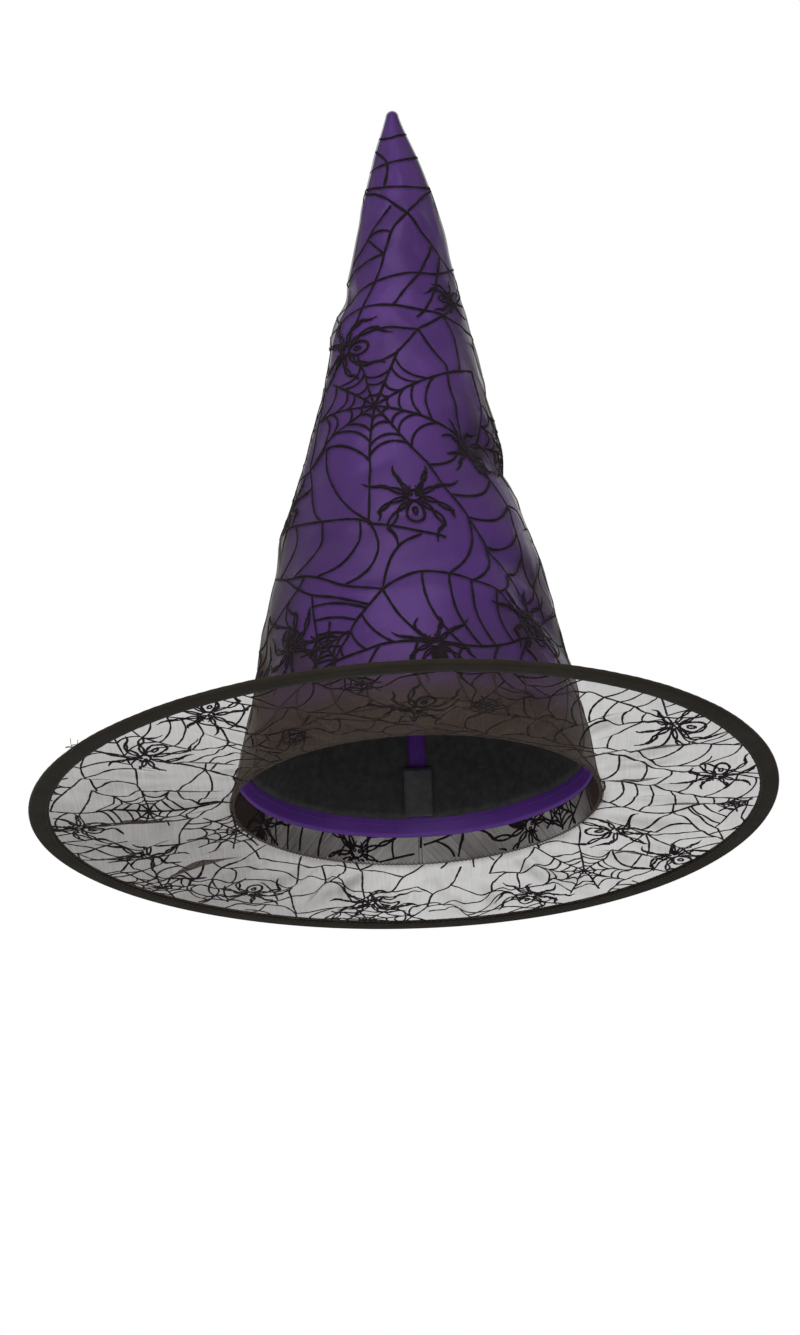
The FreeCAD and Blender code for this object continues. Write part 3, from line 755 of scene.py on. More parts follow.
# One repeat of the print, in millimetres on the flat cut: threads, each through a few points.
THREADS = {
    "long right": [(12, -251), (21, -269), (29, -280), (39, -294), (49, -306), (61, -320), (74, -337)],
    "far right": [(31, -231), (47, -249), (57, -264), (61, -277), (66, -291), (74, -308)],
    "left shoulder": [(-16, -290), (-24, -285), (-43, -278), (-61, -268), (-88, -252)],
    "ladder top": [(-13, -331), (-31, -324), (-46, -313), (-55, -307), (-71, -298), (-88, -284)],
    "ladder right": [(-13, -331), (-20, -339), (-29, -349), (-36, -360), (-42, -371)],
    "ladder left": [(-51, -321), (-50, -343), (-50, -371)],
    "low left": [(-71, -299), (-61, -311), (-51, -321), (-36, -330), (-20, -339)],
    "middle": [(-13, -331), (-7, -326), (5, -321), (20, -322), (31, -324), (43, -326), (54, -333),
               (74, -341)],
    "bottom": [(-88, -384), (-55, -372), (-41, -368), (-24, -366), (-13, -364), (9, -364), (29, -365),
               (47, -359), (60, -350), (74, -344)],
    "hem": [(-88, -404), (-50, -399), (-20, -402), (15, -398), (45, -402), (74, -396)],
    "to bottom": [(-13, -331), (-6, -347), (3, -359), (9, -364)],
    "through middle": [(7, -299), (-4, -306), (-11, -319), (-13, -331)],
    "under spider": [(-16, -290), (1, -296), (16, -299), (19, -300)],
    "cross one": [(-20, -62), (-7, -74), (3, -88), (10, -99), (16, -105), (21, -110), (30, -114), (48, -117)],
    "cross two": [(22, -58), (13, -71), (3, -88), (-4, -99), (-8, -114), (-13, -129), (-19, -143),
                  (-24, -157)],
    "fork": [(-4, -81), (-12, -93), (-17, -100), (-30, -108)],
    "fork two": [(-17, -99), (-8, -114)],
    "short left": [(-36, -113), (-8, -114)],
    "sweep": [(-44, -132), (-13, -130), (9, -126), (20, -123), (30, -114), (44, -98)],
    "drop one": [(16, -105), (13, -117), (9, -127), (1, -140), (-4, -148)],
    "drop two": [(21, -110), (20, -123), (17, -139), (13, -150), (9, -155)],
    "sweep two": [(-50, -147), (-24, -145), (-3, -148), (10, -150), (23, -151), (56, -152)],
    "long down": [(50, -106), (40, -122), (31, -140), (23, -151), (15, -159), (9, -164), (4, -172),
                  (-1, -179)],
    "hoop right": [(23, -151), (29, -161), (32, -174), (31, -187)],
    "short bar": [(9, -164), (-4, -163), (-19, -163)],
    "right strand": [(9, -164), (14, -173), (23, -186), (25, -197), (29, -214), (34, -230)],
    "top arc": [(-24, -56), (-10, -66), (1, -69), (10, -67), (20, -59), (26, -50)],
    "top stem": [(-10, -38), (-4, -51), (-6, -67)],
    "top cap": [(-14, -51), (-4, -51), (4, -49), (14, -40)],
    "tip arc": [(-9, -29), (-2, -33), (7, -28)],
    "long left": [(-41, -229), (-41, -244), (-36, -261), (-27, -277), (-16, -290)],
    "far left": [(-56, -234), (-54, -253), (-49, -269), (-43, -278)],
    "left low": [(-88, -320), (-76, -319), (-61, -313), (-55, -308)],
    "left edge": [(-88, -310), (-84, -319), (-71, -330), (-61, -339), (-56, -353), (-50, -366)],
    "left hub": [(-88, -222), (-72, -229), (-56, -234), (-41, -229)],
    "upper left": [(-60, -160), (-52, -180), (-51, -204), (-56, -234)],
    "upper right": [(41, -180), (47, -205), (47, -249)],
    "right edge": [(74, -268), (66, -262), (57, -264)],
    "corner one": [(-50, -52), (-42, -66), (-20, -62)],
    "corner two": [(-88, -118), (-66, -124), (-44, -132)],
    "corner three": [(-88, -88), (-62, -98), (-36, -113)],
    "corner four": [(-52, -28), (-46, -60), (-50, -84), (-62, -98), (-66, -124), (-60, -160)],
    "corner five": [(-88, -176), (-72, -170), (-60, -160), (-50, -147)],
    "corner six": [(26, -50), (40, -44), (56, -40), (74, -42)],
    "corner seven": [(48, -117), (60, -106), (74, -102)],
    "corner eight": [(50, -28), (46, -58), (50, -84), (50, -106), (58, -130), (56, -152), (62, -178)],
    "corner nine": [(22, -58), (34, -76), (50, -84), (62, -92), (74, -96)],
    "corner ten": [(58, -130), (74, -138)],
    "corner eleven": [(-34, -28), (-28, -44), (-24, -56)],
}

# Rungs between two threads: (thread, thread, pairs of shares along them, how far they bow, as a share).
RUNGS = [
    ("long right", "far right", [(0.03, 0.03), (0.22, 0.30), (0.36, 0.48), (0.53, 0.66), (0.69, 0.8),
                                 (0.86, 0.95)], 0.18),
    ("left shoulder", "ladder top", [(0.02, 0.24), (0.09, 0.44), (0.36, 0.66), (0.68, 0.85)], -0.30),
    ("ladder left", "ladder right", [(0.16, 0.26), (0.34, 0.42), (0.52, 0.58), (0.70, 0.74), (0.88, 0.90)],
     -0.05),
    ("long right", "middle", [(0.36, 0.38), (0.53, 0.51), (0.69, 0.66)], -0.16),
    ("middle", "bottom", [(0.24, 0.68), (0.38, 0.74), (0.50, 0.79), (0.64, 0.86), (0.82, 0.93)], 0.12),
    ("ladder right", "bottom", [(0.34, 0.48), (0.55, 0.40), (0.75, 0.33)], 0.08),
    ("bottom", "hem", [(0.06, 0.05), (0.16, 0.2), (0.3, 0.33), (0.44, 0.42), (0.55, 0.6), (0.68, 0.72),
                       (0.8, 0.84), (0.93, 0.95)], 0.15),
    ("left low", "left edge", [(0.2, 0.3), (0.6, 0.5)], 0.2),
    ("cross two", "fork", [(0.45, 0.6)], 0.2),
    ("upper left", "left hub", [(0.45, 0.3)], 0.25),
    ("corner one", "corner three", [(0.2, 0.25), (0.62, 0.5), (0.85, 0.75)], 0.18),
    ("corner three", "corner two", [(0.25, 0.2), (0.7, 0.6)], -0.15),
    ("corner six", "corner nine", [(0.3, 0.45), (0.7, 0.75)], 0.2),
    ("corner nine", "corner seven", [(0.6, 0.35), (0.85, 0.8)], -0.18),
]

# Webs in one repeat: hub, rings, and each spoke's bearing in degrees and length. A web whose hub is on a
# side of the repeat is half drawn, and its mirror image is its other half.
WEBS = [
    ((-14, -213), (8.3, 16.0, 24.5, 33.5), [(31, 64), (70, 37), (105, 38), (134, 40), (167, 38), (207, 46),
                                           (267, 77), (304, 46), (340, 50)]),
    ((-45, -356), (4.5, 9.0), [(20, 14), (75, 14), (130, 13), (185, 14), (240, 14), (300, 13)]),
    ((74, -214), (7.5, 15.0, 24.0), [(90, 42), (122, 36), (150, 30), (178, 27), (207, 30), (240, 34),
                                     (270, 40)]),
    ((-88, -190), (8.0, 16.0, 25.0), [(-90, 34), (-58, 32), (-24, 34), (8, 38), (40, 34), (68, 34),
                                      (90, 42)]),
    ((-88, -76), (7.0, 15.0, 24.0), [(-90, 30), (-55, 34), (-20, 40), (12, 44), (50, 40), (90, 42)]),
    ((74, -64), (7.0, 15.0, 24.0), [(90, 34), (128, 32), (160, 30), (192, 32), (226, 34), (270, 36)]),
]
# Spiders in one repeat: middle, turn in degrees, size, and whether the body is filled in.
SPIDERS = [(4.5, -276, 3, 1.0, False), (-31, -168, 72, 0.95, False), (11, -366, 14, 0.8, True),
           (-66, -347, 205, 0.95, True), (66, -336, 28, 0.95, False), (37, -236, 95, 0.7, True),
           (27, -137, -60, 0.5, False), (-76, -246, -30, 0.85, True)]
# The sides of the repeat, and the width of a line in metres.
REPEAT_LEFT, REPEAT_RIGHT = -88, 74
REPEAT_LOW, REPEAT_HIGH = -404, -28
LINE = 0.0013
FRAY = 0.22
GATHER = 0.78  # the brim's cloth is drawn together, so its lines lie closer
WEB_SAG = 0.07
BRIM_SPIDERS = [
    (-125, -94, 40, 1.0), (-135, 53, -70, 1.0), (-165, 8, 120, 0.85), (-92, -143, 10, 0.95),
    (134, -93, 95, 1.0), (158, -25, 10, 0.9), (108, 50, -100, 1.0), (140, 88, 150, 1.0),
    (8, -143, 30, 0.95), (-20, 143, 80, 1.0), (66, 140, 200, 0.9), (-84, 120, 20, 0.9),
]


def through(points, fine=6):
    """A smooth line through points."""
    p = np.asarray(points, float)
    p = np.vstack([2 * p[0] - p[1], p, 2 * p[-1] - p[-2]])
    t = np.linspace(0, 1, fine, endpoint=False)[:, None]
    parts = []
    for a, b, c, d in zip(p, p[1:], p[2:], p[3:]):
        square, cube = 2 * a - 5 * b + 4 * c - d, 3 * b - a - 3 * c + d
        parts.append(0.5 * (2 * b + (c - a) * t + square * t**2 + cube * t**3))
    return np.vstack(parts + [p[-2:-1]])


def share_along(line, share):
    """The place at a share of a line's length."""
    along = np.concatenate([[0], np.cumsum(np.hypot(*np.diff(line, axis=0).T))])
    return np.array([np.interp(share * along[-1], along, line[:, i]) for i in (0, 1)])


def repeat_lines():
    """All the threads of one repeat, as smooth lines in millimetres."""
    threads = {name: through(points) for name, points in THREADS.items()}
    lines = list(threads.values())
    t = np.linspace(0, 1, 8)[:, None]
    for one, other, pairs, bow in RUNGS:
        for a, b in pairs:
            start, end = share_along(threads[one], a), share_along(threads[other], b)
            side = np.array([end[1] - start[1], start[0] - end[0]]) * bow
            lines.append(start + (end - start) * t + side * 4 * t * (1 - t))
    for hub, rings, spokes in WEBS:
        rays = np.array([(math.cos(math.radians(turn)), math.sin(math.radians(turn))) for turn, _ in spokes])
        lengths = np.array([length for _, length in spokes])
        lines += [np.array(hub) + ray * length * t for ray, length in zip(rays, lengths)]
        for k, radius in enumerate(rings):
            for i in range(len(spokes)):
                j = (i + 1) % len(spokes)
                if min(lengths[i], lengths[j]) > radius:
                    a = rays[i] * radius * (1 + 0.05 * (-1) ** (i + k))
                    b = rays[j] * radius * (1 - 0.05 * (-1) ** (j + k))
                    lines.append(np.array(hub) + a + (b - a) * t - (a + b) * WEB_SAG * 4 * t * (1 - t))
    return lines


def crown_print(cloth):
    """The print on the crown: one repeat at the front, and its mirror images round to the seam."""
    foot_slant = (APEX_Z - FOOT_Z) * SLANT

    def inside(x, y):
        slant, turn = np.hypot(x, y), np.arctan2(x, -y)
        clear_of_seam = np.abs(turn) < SEAM_TURN - 0.0009 / np.maximum(slant, 0.01)
        return (slant > 0.016) & (slant < foot_slant - 0.001) & clear_of_seam

    drawn = Print(inside, SEED)
    lines = repeat_lines()
    wide = REPEAT_RIGHT - REPEAT_LEFT
    for fold in (None, REPEAT_LEFT, REPEAT_RIGHT, REPEAT_LEFT - wide, REPEAT_RIGHT + wide):
        for line in lines:
            x = line[:, 0]
            if fold in (REPEAT_LEFT, REPEAT_RIGHT):
                x = 2 * fold - x
            elif fold is not None:
                x = x + 2 * math.copysign(wide, fold)
            drawn.draw(np.stack([x, line[:, 1]], 1) / 1000, LINE)
        for x, y, turn, size, solid in SPIDERS:
            if fold is None:
                drawn.spider((x / 1000, y / 1000), turn, size, solid)
            elif fold in (REPEAT_LEFT, REPEAT_RIGHT) and abs(x - fold) > 20:
                drawn.spider(((2 * fold - x) / 1000, y / 1000), -turn, size, solid)
    return drawn.lay("crown_print", cloth)


def brim_print(cloth):
    """The print on the brim: the same repeat, turned, drawn together and mirrored each way."""

    def inside(x, y):
        return (np.hypot(x - AXIS_X, y) > OPENING_R + 0.0008) & (np.hypot(x, y) < TAPE_IN_R + 0.002)

    drawn = Print(inside, SEED + 2)
    wide, tall = REPEAT_RIGHT - REPEAT_LEFT, REPEAT_HIGH - REPEAT_LOW
    turned = 0.5
    cos, sin = math.cos(turned), math.sin(turned)
    for line in repeat_lines():
        for column in range(-2, 3):
            for row in range(-1, 2):
                x = line[:, 0] - REPEAT_LEFT
                y = line[:, 1] - REPEAT_LOW
                x = (wide - x if column % 2 else x) + (column - 0.5) * wide
                y = (tall - y if row % 2 else y) + (row - 0.35) * tall
                places = np.stack([x * cos - y * sin, x * sin + y * cos], 1)
                drawn.draw(places * GATHER / 1000, LINE * 0.9)
    for x, y, turn, size in BRIM_SPIDERS:
        drawn.spider((x / 1000, y / 1000), turn, size)
    return drawn.lay("brim_print", cloth)


# ---------------------------------------------------------------- the brim's sheer
# Folds in the brim: from (x, y) to (x, y) in millimetres, half width, height.
BRIM_FOLDS = [
    (-152, 78, -98, 16, 4.5, 3.5), (-172, 48, -112, -6, 5.0, 3.0), (-126, 118, -84, 58, 5.0, 3.0),
    (-178, 8, -118, -24, 5.0, 2.5), (-95, 145, -60, 92, 5.0, 2.5), (-160, -40, -112, -52, 5.0, -2.0),
    (-60, -160, -38, -108, 5.0, 2.0), (20, -172, 14, -112, 5.0, -2.0), (80, -150, 62, -96, 5.0, 2.0),
    (112, -52, 158, -74, 4.5, 2.5), (116, 10, 172, 22, 5.0, -2.5), (108, 62, 150, 96, 5.0, 2.5),
    (70, 100, 98, 148, 5.0, -2.0), (10, 108, 22, 170, 5.0, 2.5), (-30, 108, -48, 168, 5.0, -2.0),
]


# The slack cloth's waves: how many go round, their height, how far they twist outwards, and where they start.
RUFFLES = [(7, 0.0030, 1.1, 0.4), (13, 0.0020, -1.6, 2.1), (21, 0.0015, 2.2, 4.0), (34, 0.0009, -2.6, 1.2),
           (55, 0.0005, 3.0, 5.3)]
SETTLING = {"quality": 6, "mass": 0.02, "tension_stiffness": 18, "compression_stiffness": 18,
            "shear_stiffness": 4, "bending_stiffness": 0.02, "tension_damping": 8, "compression_damping": 8,
            "shear_damping": 8, "air_damping": 2, "vertex_group_mass": "held"}
HOLD_WITHIN = 0.0005  # the cloth is held in the tape and this far out of it
SETTLING_FRAMES = 18
SETTLING_GRAVITY = 0.35


def folds(x, y):
    """Height of the brim's folds, and how much closer the threads lie along them."""
    tall, close = np.zeros_like(x), np.zeros_like(x)
    for ax, ay, bx, by, width, height in BRIM_FOLDS:
        near = ridge(x * 1000, y * 1000, (ax, ay), (bx, by), width, bow=0.10)
        tall += near * height / 1000
        close += near * abs(height) / 3.5
    return tall, np.clip(close, 0, 1.2)


def hoop_dip(x, y):
    """The wire hoop isn't quite flat: it dips at its front left and back right."""
    turn = np.arctan2(y, x) - math.pi / 4
    share = np.clip((np.hypot(x, y) - 0.1) / (TAPE_R - 0.1), 0, 1)
    return -HOOP_DIP * share * (1 + np.cos(2 * turn)) / 2


def ruffle(r, a):
    """Height of the slack cloth before it settles: folds that run mostly outwards."""
    share = np.clip((r - OPENING_R) / (TAPE_IN_R - OPENING_R), 0, 1)
    held = np.sin(math.pi * share) ** 0.7
    waves = np.zeros_like(r)
    for count, tall, twist, phase in RUFFLES:
        waves = waves + tall * np.sin(count * a + phase + twist * share * 2 + 0.8 * np.sin(3 * a + phase))
    return waves * held, held


def make_brim_sheer():
    """The brim's cloth between the crown's foot and the slot in the binding, with its flat cut as UVs."""
    turns, rings = 400, 40
    angle = np.linspace(0, 2 * math.pi, turns + 1)[:-1]
    share = np.linspace(0, 1, rings)
    a, s = np.meshgrid(angle, share)
    outer = brim_hi.x
    inner_x, inner_y = AXIS_X + OPENING_R * np.cos(a), OPENING_R * np.sin(a)
    x = inner_x * (1 - s) + outer * np.cos(a) * s
    y = inner_y * (1 - s) + outer * np.sin(a) * s
    waves, held = ruffle(np.hypot(x - AXIS_X * (1 - s), y), a)
    tall, close = folds(x, y)
    z = MESH_Z + waves + tall * held + hoop_dip(x, y)
    faces, cuts = [], []
    for i in range(rings - 1):
        for j in range(turns):
            k = (j + 1) % turns
            faces.append((i * turns + j, (i + 1) * turns + j, (i + 1) * turns + k, i * turns + k))
            cuts += [(x[p], y[p]) for p in ((i, j), (i + 1, j), (i + 1, k), (i, k))]
    sheer = new_mesh("brim_sheer", np.stack([x, y, z], -1).reshape(-1, 3), faces, BRIM_SHEER, cuts)
    settle(sheer, np.hypot(x, y).ravel(), np.hypot(x - AXIS_X, y).ravel())
    # The threads lie closer where the cloth is steep or folded, and along the seam. At its left they lie
    # closer partly because the cloth is gathered there and partly as painted shade.
    steep = 1 - np.abs(read_points(sheer, "normal")[:, 2])
    # Partly painted shade: the brim's left gets closer threads so that it is darker, as if in shade, besides
    # its gathers.
    left = np.clip(-x.ravel() / 0.11, 0, 1) * np.clip(0.75 + y.ravel() / 0.2, 0, 1)
    seam = np.exp(-(((np.hypot(x - AXIS_X, y).ravel() - OPENING_R) / 0.004) ** 2))
    density = BRIM_DENSITY + 0.7 * steep + 0.10 * close.ravel() + 0.30 * left + 0.25 * seam
    set_density(sheer, np.minimum(density, CLOSEST_BRIM))
    return sheer


def settle(sheer, from_hoop, from_crown):
    """Lets the brim's slack cloth hang between the crown's foot and the binding."""
    held = sheer.vertex_groups.new(name="held")
    fixed = np.flatnonzero((from_hoop > TAPE_IN_R - HOLD_WITHIN) | (from_crown < FOOT_R + 0.0004))
    held.add([int(i) for i in fixed], 1.0, "REPLACE")
    cloth = sheer.modifiers.new("settling", "CLOTH")
    for key, value in SETTLING.items():
        setattr(cloth.settings, key, value)
    cloth.settings.effector_weights.gravity = SETTLING_GRAVITY
    cloth.collision_settings.use_collision = False
    scene = bpy.context.scene
    cloth.point_cache.frame_start, cloth.point_cache.frame_end = 1, SETTLING_FRAMES
    for at in range(1, SETTLING_FRAMES + 1):
        scene.frame_set(at)
    apply_modifiers(sheer)
    sheer.vertex_groups.clear()
    scene.frame_set(1)


# ---------------------------------------------------------------- pieces
def bend_with_point(*things):
    """Bakes each object's transform into its mesh."""
    for thing in things:
        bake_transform(thing)


def crown_density(overlay):
    """The crown's sheer is bunched towards its foot and hangs in soft folds at its sides. The extra closeness
    at both sides and low at the wearer's right is partly those folds and partly painted shade.
    """
    x, y, z = read_points(overlay, "co").T
    bearing = np.arctan2(x - AXIS_X, -y)
    # A slow rise towards the foot and a quick one at it, then both sides, and more at the wearer's right.
    foot = 0.22 * np.clip((0.085 - z) / 0.06, 0, 1) ** 1.3 + 0.36 * np.clip((0.034 - z) / 0.012, 0, 1)
    # Partly painted shade: both sides and the low place at the wearer's right get closer threads, so they are
    # darker, as in shade; the rest is the folded sheer there.
    sides = np.exp(-(((np.abs(bearing) - 1.5) / 0.38) ** 2)) * np.clip((0.30 - z) / 0.1, 0.7, 1)
    left = np.exp(-(((bearing + 1.35) / 0.4) ** 2)) * np.clip((0.16 - z) / 0.06, 0, 1)
    drift = rough(np.sin(bearing) * 0.05, np.cos(bearing) * 0.05, z * 0.6, 0.03, 8)
    close = creased(SHEER_FOLDS, bearing, z) / 0.002
    return CROWN_DENSITY + foot + 0.27 * sides + 0.28 * left + 0.08 * drift + 0.28 * close


def make_crown():
    """The satin cone, the looser sheer over it and its print."""
    satin = cone_sheet("satin_crown", crown_grid(150, 220, SATIN_IN, foot=HEM_Z), SATIN)
    solidify(satin, SATIN_THICK)
    overlay = cone_sheet("crown_sheer", crown_grid(170, 256, 0.0, loose=0.00035, seed=3), CROWN_SHEER)
    set_density(overlay, crown_density(overlay))
    webs = crown_print(overlay)
    bend_with_point(satin, overlay, webs)
    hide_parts("satin_crown_lower", "satin_crown_tip")
    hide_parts("crown_mesh")


def make_brim():
    """The brim's sheer and its print."""
    sheer = make_brim_sheer()
    webs = brim_print(sheer)
    for thing in (sheer, webs):
        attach(thing, HAT)
    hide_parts("brim_mesh")


def make_binding():
    """Tape folded round the wire and the mesh: its section, carried round with the puckers of sewing."""
    wire_r = (wire_hi.x - wire_lo.x) / 2 - 0.0009
    bulge, steps = TAPE_R - wire_r, 8
    section = [(TAPE_IN_R, 0.0001), (TAPE_IN_R + 0.004, 0.0), (wire_r, 0.0)]
    for step in range(1, steps):
        turn = -math.pi / 2 + math.pi * step / steps
        section.append((wire_r + bulge * math.cos(turn), WIRE_Z + bulge * math.sin(turn)))
    top = 2 * WIRE_Z
    section += [(wire_r - r, top - z) for r, z in ((0, 0), (0.0016, 0.0003), (0.003, 0.0010))]
    section += [(TAPE_IN_R + r, z) for r, z in ((0.0035, 0.0021), (0.0018, 0.00205), (0.0012, 0.0019),
                                                (0.0006, 0.0021), (0.0, 0.0019), (-0.0002, 0.0012))]

    def pucker(a, r, z):
        wave = math.sin(a * 176) * 0.5 + math.sin(a * 61 + 1) * 0.3 + math.sin(a * 23 + 2) * 0.4
        inner = max(0.0, min(1.0, (wire_r - r) / 0.006))
        r += 0.00018 * wave * inner + 0.00035 * math.sin(a * 5 + 1) * inner
        if z > 0.0015:
            z += 0.00012 * wave
        return r, z

    tape = sweep_ring("edge_tape", section, 720, BINDING, pucker)
    stand_in(tape, "black_binding", "edge_binding")
    row_r = (needle_hi.x - needle_lo.x) / 2 - 0.00025
    ring = np.linspace(0, 2 * math.pi, 361)[:-1]
    for name, node, z, up in (("binding_stitches_top", "binding_needle_thread", 0.00195, 1),
                              ("binding_stitches_under", "binding_bobbin_thread", 0.0002, -1)):
        path = [(row_r * math.cos(a), row_r * math.sin(a)) for a in ring]
        path = [(x, y, z + float(hoop_dip(x, y))) for x, y in path]
        row = stitch_rows(name, [(path, [(0, 0, up)] * len(path))], BLACK_THREAD, thread=0.0002, closed=True)
        stand_in(row, "black_thread", node)


def make_hoop():
    """The spring wire inside the binding, and the sleeve that joins its ends at the back."""
    wire_r = (wire_hi.x - wire_lo.x) / 2 - WIRE_THICK / 2
    section = [(wire_r + WIRE_THICK / 2 * math.cos(t), WIRE_Z + WIRE_THICK / 2 * math.sin(t))
               for t in np.linspace(0, 2 * math.pi, 13)[:-1]]
    wire = sweep_ring("spring_hoop", section, 360, STEEL)
    stand_in(wire, "spring_steel", "hoop_wire")
    lo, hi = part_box("wire_ferrule")
    reach = math.asin(hi.x / wire_r)
    radius = (hi.z - lo.z) / 2
    points, faces = [], []
    around = 20
    half = [(1, 0.96), (0.97, 1), (0.62, 1), (0.58, 0.93), (0.40, 0.93), (0.36, 1)]
    rings = [(-share, size) for share, size in half] + half[::-1]
    for share, size in rings:
        a = math.pi / 2 - reach * share
        for t in np.linspace(0, 2 * math.pi, around + 1)[:-1]:
            r, z = wire_r + radius * size * math.cos(t), WIRE_Z + radius * size * math.sin(t)
            x, y = r * math.cos(a), r * math.sin(a)
            points.append((x, y, z + float(hoop_dip(x, y))))
    for i in range(len(rings) - 1):
        low, high = i * around, (i + 1) * around
        for j in range(around):
            k = (j + 1) % around
            faces.append((low + j, low + k, high + k, high + j))
    faces += [tuple(range(around - 1, -1, -1)), tuple(len(points) - around + j for j in range(around))]
    sleeve = new_mesh("wire_sleeve", points, faces, BRASS)
    stand_in(sleeve, "sleeve_brass", "wire_ferrule")


def stand_in(thing, slot, *nodes, with_point=False):
    """Hides the CAD parts a piece stands for, and parents the piece to the hat, or with with_point only bakes
    its transform. slot is not used.
    """
    if with_point:
        bend_with_point(thing)
    else:
        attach(thing, HAT)
    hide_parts(*nodes)


def make_interlining():
    """The stiff cone inside the satin, open along the back seam."""
    grid = crown_grid(60, 200, LINING_IN, foot=lining_lo.z, top=lining_hi.z, gap=0.0045)
    lining = solidify(cone_sheet("stiff_interlining", grid, LINING, closed=False, tip=False), LINING_THICK)
    stand_in(lining, "stiff_interlining", "crown_interlining", with_point=True)


def make_seams():
    """The threads: the crown's foot, both back seams, the satin's hem and the tacks between the layers."""
    around = np.linspace(-math.pi, math.pi, 181)[:-1]
    foot = on_crown(around, FOOT_Z + 0.0006, -0.0004)
    seam = stitch_rows("foot_overlock", [foot], BLACK_THREAD, pitch=0.0022, stitch=0.0024, thread=0.0002,
                       slant=0.7, closed=True)
    stand_in(seam, "black_thread", "brim_seam_thread")
    up = np.linspace(FOOT_Z + 0.002, SHOULDER_Z - 0.001, 60)
    beside = math.pi - 0.0016 / (FOOT_R - SLOPE * up)
    rows = [on_crown(beside, up, -0.0006), on_crown(math.pi, up, -0.0007)]
    seam = stitch_rows("sheer_back_seam", rows, BLACK_THREAD, pitch=0.0026, stitch=0.0023, thread=0.0002)
    stand_in(seam, "black_thread", "mesh_seam_thread", with_point=True)
    hem = on_crown(around, HEM_Z + 0.0068, 0.0005)
    inside = on_crown(around, HEM_Z + 0.0068, 0.0011)
    rows = [hem, (inside[0], -inside[1])]
    seam = stitch_rows("satin_hem_stitches", rows, PURPLE_THREAD, thread=0.00018, closed=True)
    stand_in(seam, "purple_thread", "satin_hem_thread")
    up = np.linspace(lining_lo.z, lining_hi.z, 40)
    places, out = on_crown(math.pi, up, 0.0011)
    seam = stitch_rows("satin_back_seam", [(places, -out)], PURPLE_THREAD, thread=0.00018, stitch=0.0028)
    stand_in(seam, "purple_thread", "satin_seam_thread", with_point=True)
    rows = []
    for turn in (45, 135, 225, 315):
        for step in range(3):
            bearing = math.radians(turn) + (step - 1) * 0.006
            start, end = bearing - 0.012, bearing + 0.012
            rows.append(on_crown([start, end], HEM_Z + 0.004 + 0.0004 * step, -0.0005))
    seam = stitch_rows("hem_tack_turns", rows, BLACK_THREAD, pitch=0.0020, stitch=0.0026, thread=0.00026)
    stand_in(seam, "black_thread", "hem_tacks")
    starts = enumerate((-0.6, 0.5, 1.4))
    rows = [on_crown([a, a + 2.4], TOP_Z - 0.0022 + 0.0003 * k, 0.0015) for k, a in starts]
    seam = stitch_rows("tip_tack_turns", rows, BLACK_THREAD, pitch=0.0012, stitch=0.0016, thread=0.00022)
    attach(seam, POINT)
    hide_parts("tip_tack")


def make_label():
    """A folded ribbon sewn inside the back by its upper ends, its fold hanging free."""
    lo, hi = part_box("care_label")
    count, across = 40, 9
    length = hi.z - lo.z
    t = np.linspace(0, 1, count)
    down = np.where(t < 0.5, t * 2, 2 - t * 2)
    z = hi.z - length * np.sin(down * math.pi / 2) ** 0.9
    apart = np.where(t < 0.5, 0.00035, -0.00035) - 0.0012 * np.sin(math.pi * t) ** 2
    points, faces, cuts = [], [], []
    for i in range(count):
        for j in range(across):
            x = lo.x + (hi.x - lo.x) * j / (across - 1)
            cone_r = FOOT_R - SLOPE * (z[i] - FOOT_Z) - LABEL_IN
            r = cone_r + FULLNESS(z[i]) + 0.0002 * math.sin(j * 0.9 + i * 0.2)
            bearing = math.pi - (x - AXIS_X) / r
            reach = r + apart[i] - 0.0006
            points.append((AXIS_X + LEAN(z[i]) + reach * math.sin(bearing), -reach * math.cos(bearing), z[i]))
    for i in range(count - 1):
        for j in range(across - 1):
            a = i * across + j
            faces.append((a, a + 1, a + across + 1, a + across))
            for p, q in ((i, j), (i, j + 1), (i + 1, j + 1), (i + 1, j)):
                cuts.append(((hi.x - lo.x) * q / (across - 1), 2 * length * p / (count - 1)))
    ribbon = solidify(new_mesh("care_ribbon", points, faces, LABEL, cuts), LABEL_THICK, offset=0.0)
    stand_in(ribbon, "label_ribbon", "care_label")
    sewn = np.linspace(lo.x + 0.001, hi.x - 0.001, 12)
    places, out = on_crown(math.pi - (sewn - AXIS_X) / FOOT_R, hi.z - 0.0018, 0.0044)
    row = stitch_rows("ribbon_stitches", [(places, -out)], PURPLE_THREAD, pitch=0.0022, stitch=0.0018,
                      thread=0.00018)
    stand_in(row, "purple_thread", "label_thread")


def make_loose_ends():
    """A few thread ends left at the edge of the binding."""
    random = np.random.default_rng(SEED + 9)
    lines, widths = [], []
    for _ in range(8):
        turn = math.radians(213.5 + random.uniform(-0.9, 0.9))
        t = np.linspace(0, 1, 9)[:, None]
        x, y = TAPE_R * math.cos(turn), TAPE_R * math.sin(turn)
        start = np.array([x, y, WIRE_Z + float(hoop_dip(x, y))])
        out = np.array([math.cos(turn), math.sin(turn), random.uniform(-0.3, 0.5)])
        out *= random.uniform(0.0015, 0.004)
        curl = random.uniform(-0.003, 0.003, 3)
        lines.append(start - out * 0.2 + out * 1.2 * t + curl * t**2)
        widths.append(np.full(9, 0.00016))
    ends = path_object("loose_ends", lines, half_width=widths)
    run_tree(ends, THREAD_TREE, Material=BLACK_THREAD)
    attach(ends, HAT)


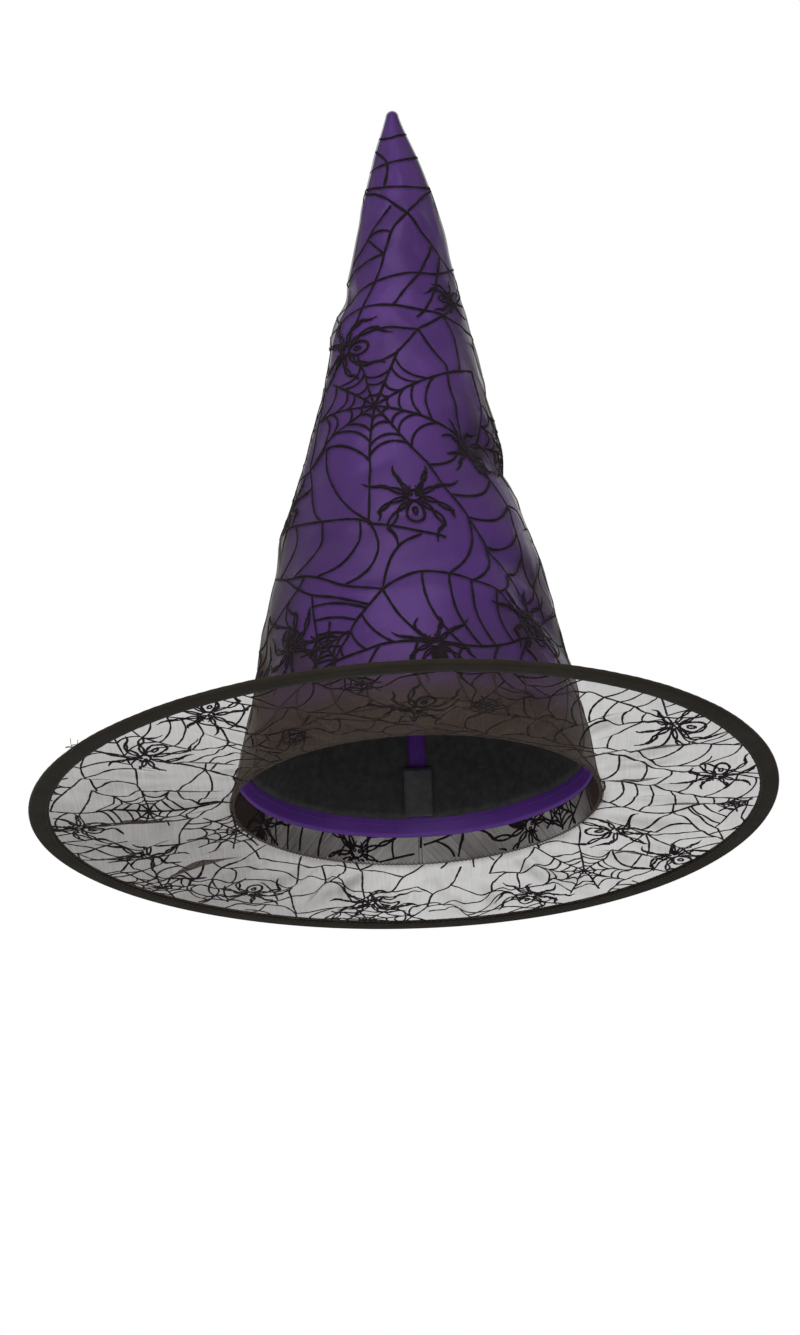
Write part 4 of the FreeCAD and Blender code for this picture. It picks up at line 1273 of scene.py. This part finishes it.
# ---------------------------------------------------------------- room, light and camera
def make_room():
    """A pale floor far below the hat, and a white backdrop that lights it less than it shows."""
    material, tree, body = new_material("pale floor", 0.7, 0.8, (0.90, 0.90, 0.90), (0.93, 0.93, 0.93),
                                        cloud_size=2.0)
    # Seen directly, the floor is as pale as the backdrop. It throws no more light on the hat for that.
    direct = tree.nodes.new("ShaderNodeLightPath").outputs["Is Camera Ray"]
    body.inputs["Emission Color"].default_value = (1, 1, 1, 1)
    tree.links.new(maths(tree, "MULTIPLY", direct, 0.42), body.inputs["Emission Strength"])
    size, low = 30, -1.5
    corners = [(-size, -size, low), (size, -size, low), (size, size, low), (-size, size, low)]
    new_mesh("floor", corners, [(0, 1, 2, 3)], material)
    world = bpy.data.worlds.new("studio")
    bpy.context.scene.world = world
    world.use_nodes = True
    tree = world.node_tree
    backdrop = tree.nodes["Background"]
    backdrop.inputs["Color"].default_value = (1, 1, 1, 1)
    backdrop.inputs["Strength"].default_value = 1.0
    room = add(tree, "ShaderNodeBackground", Color=(1.0, 0.99, 0.98, 1), Strength=0.42)
    direct = tree.nodes.new("ShaderNodeLightPath").outputs["Is Camera Ray"]
    mix = add(tree, "ShaderNodeMixShader", [(0, direct), (1, room), (2, backdrop)])
    tree.links.new(mix.outputs[0], tree.nodes["World Output"].inputs[0])


def aim(thing, target):
    """Turns a lamp or camera to face a place."""
    thing.rotation_euler = (Vector(target) - thing.location).to_track_quat("-Z", "Y").to_euler()


# Name, place, watts and size of each soft lamp.
LIGHTS = [
    ("key", (-0.45, -2.4, 0.0), 34, 0.8),
    ("fill", (1.8, -2.0, 0.2), 6, 1.4),
    ("top", (-0.4, -2.0, 1.8), 21, 0.6),
    ("back left", (-1.3, 2.4, 0.9), 16, 1.4),
    ("back right", (1.5, 2.3, 1.3), 16, 1.4),
]


def add_light(name, place, power, size):
    """A soft square lamp that faces the hat."""
    data = bpy.data.lights.new(name, "AREA")
    data.energy, data.size = power, size
    light = new_object(name, data)
    light.location = place
    aim(light, (0, 0, 0.15))


def make_camera():
    """The camera stands in front and below, as when the hat is worn tilted back. It is slightly rolled."""
    distance, below, roll = 2.4, math.radians(20.5), math.radians(2.567)
    data = bpy.data.cameras.new("camera")
    data.lens, data.sensor_width = 127.65, 36
    camera = new_object("camera", data)
    camera.location = (0, -distance * math.cos(below), -distance * math.sin(below))
    aim(camera, (0.0010, 0, 0.0749))
    camera.rotation_euler = (camera.rotation_euler.to_matrix() @ Matrix.Rotation(-roll, 3, "Z")).to_euler()
    bpy.context.scene.camera = camera


make_camera()
make_room()
for light in LIGHTS:
    add_light(*light)
bpy.context.scene.view_settings.view_transform = "Standard"

make_crown()
make_brim()
make_binding()
make_interlining()
make_seams()
make_label()
make_loose_ends()
make_hoop()
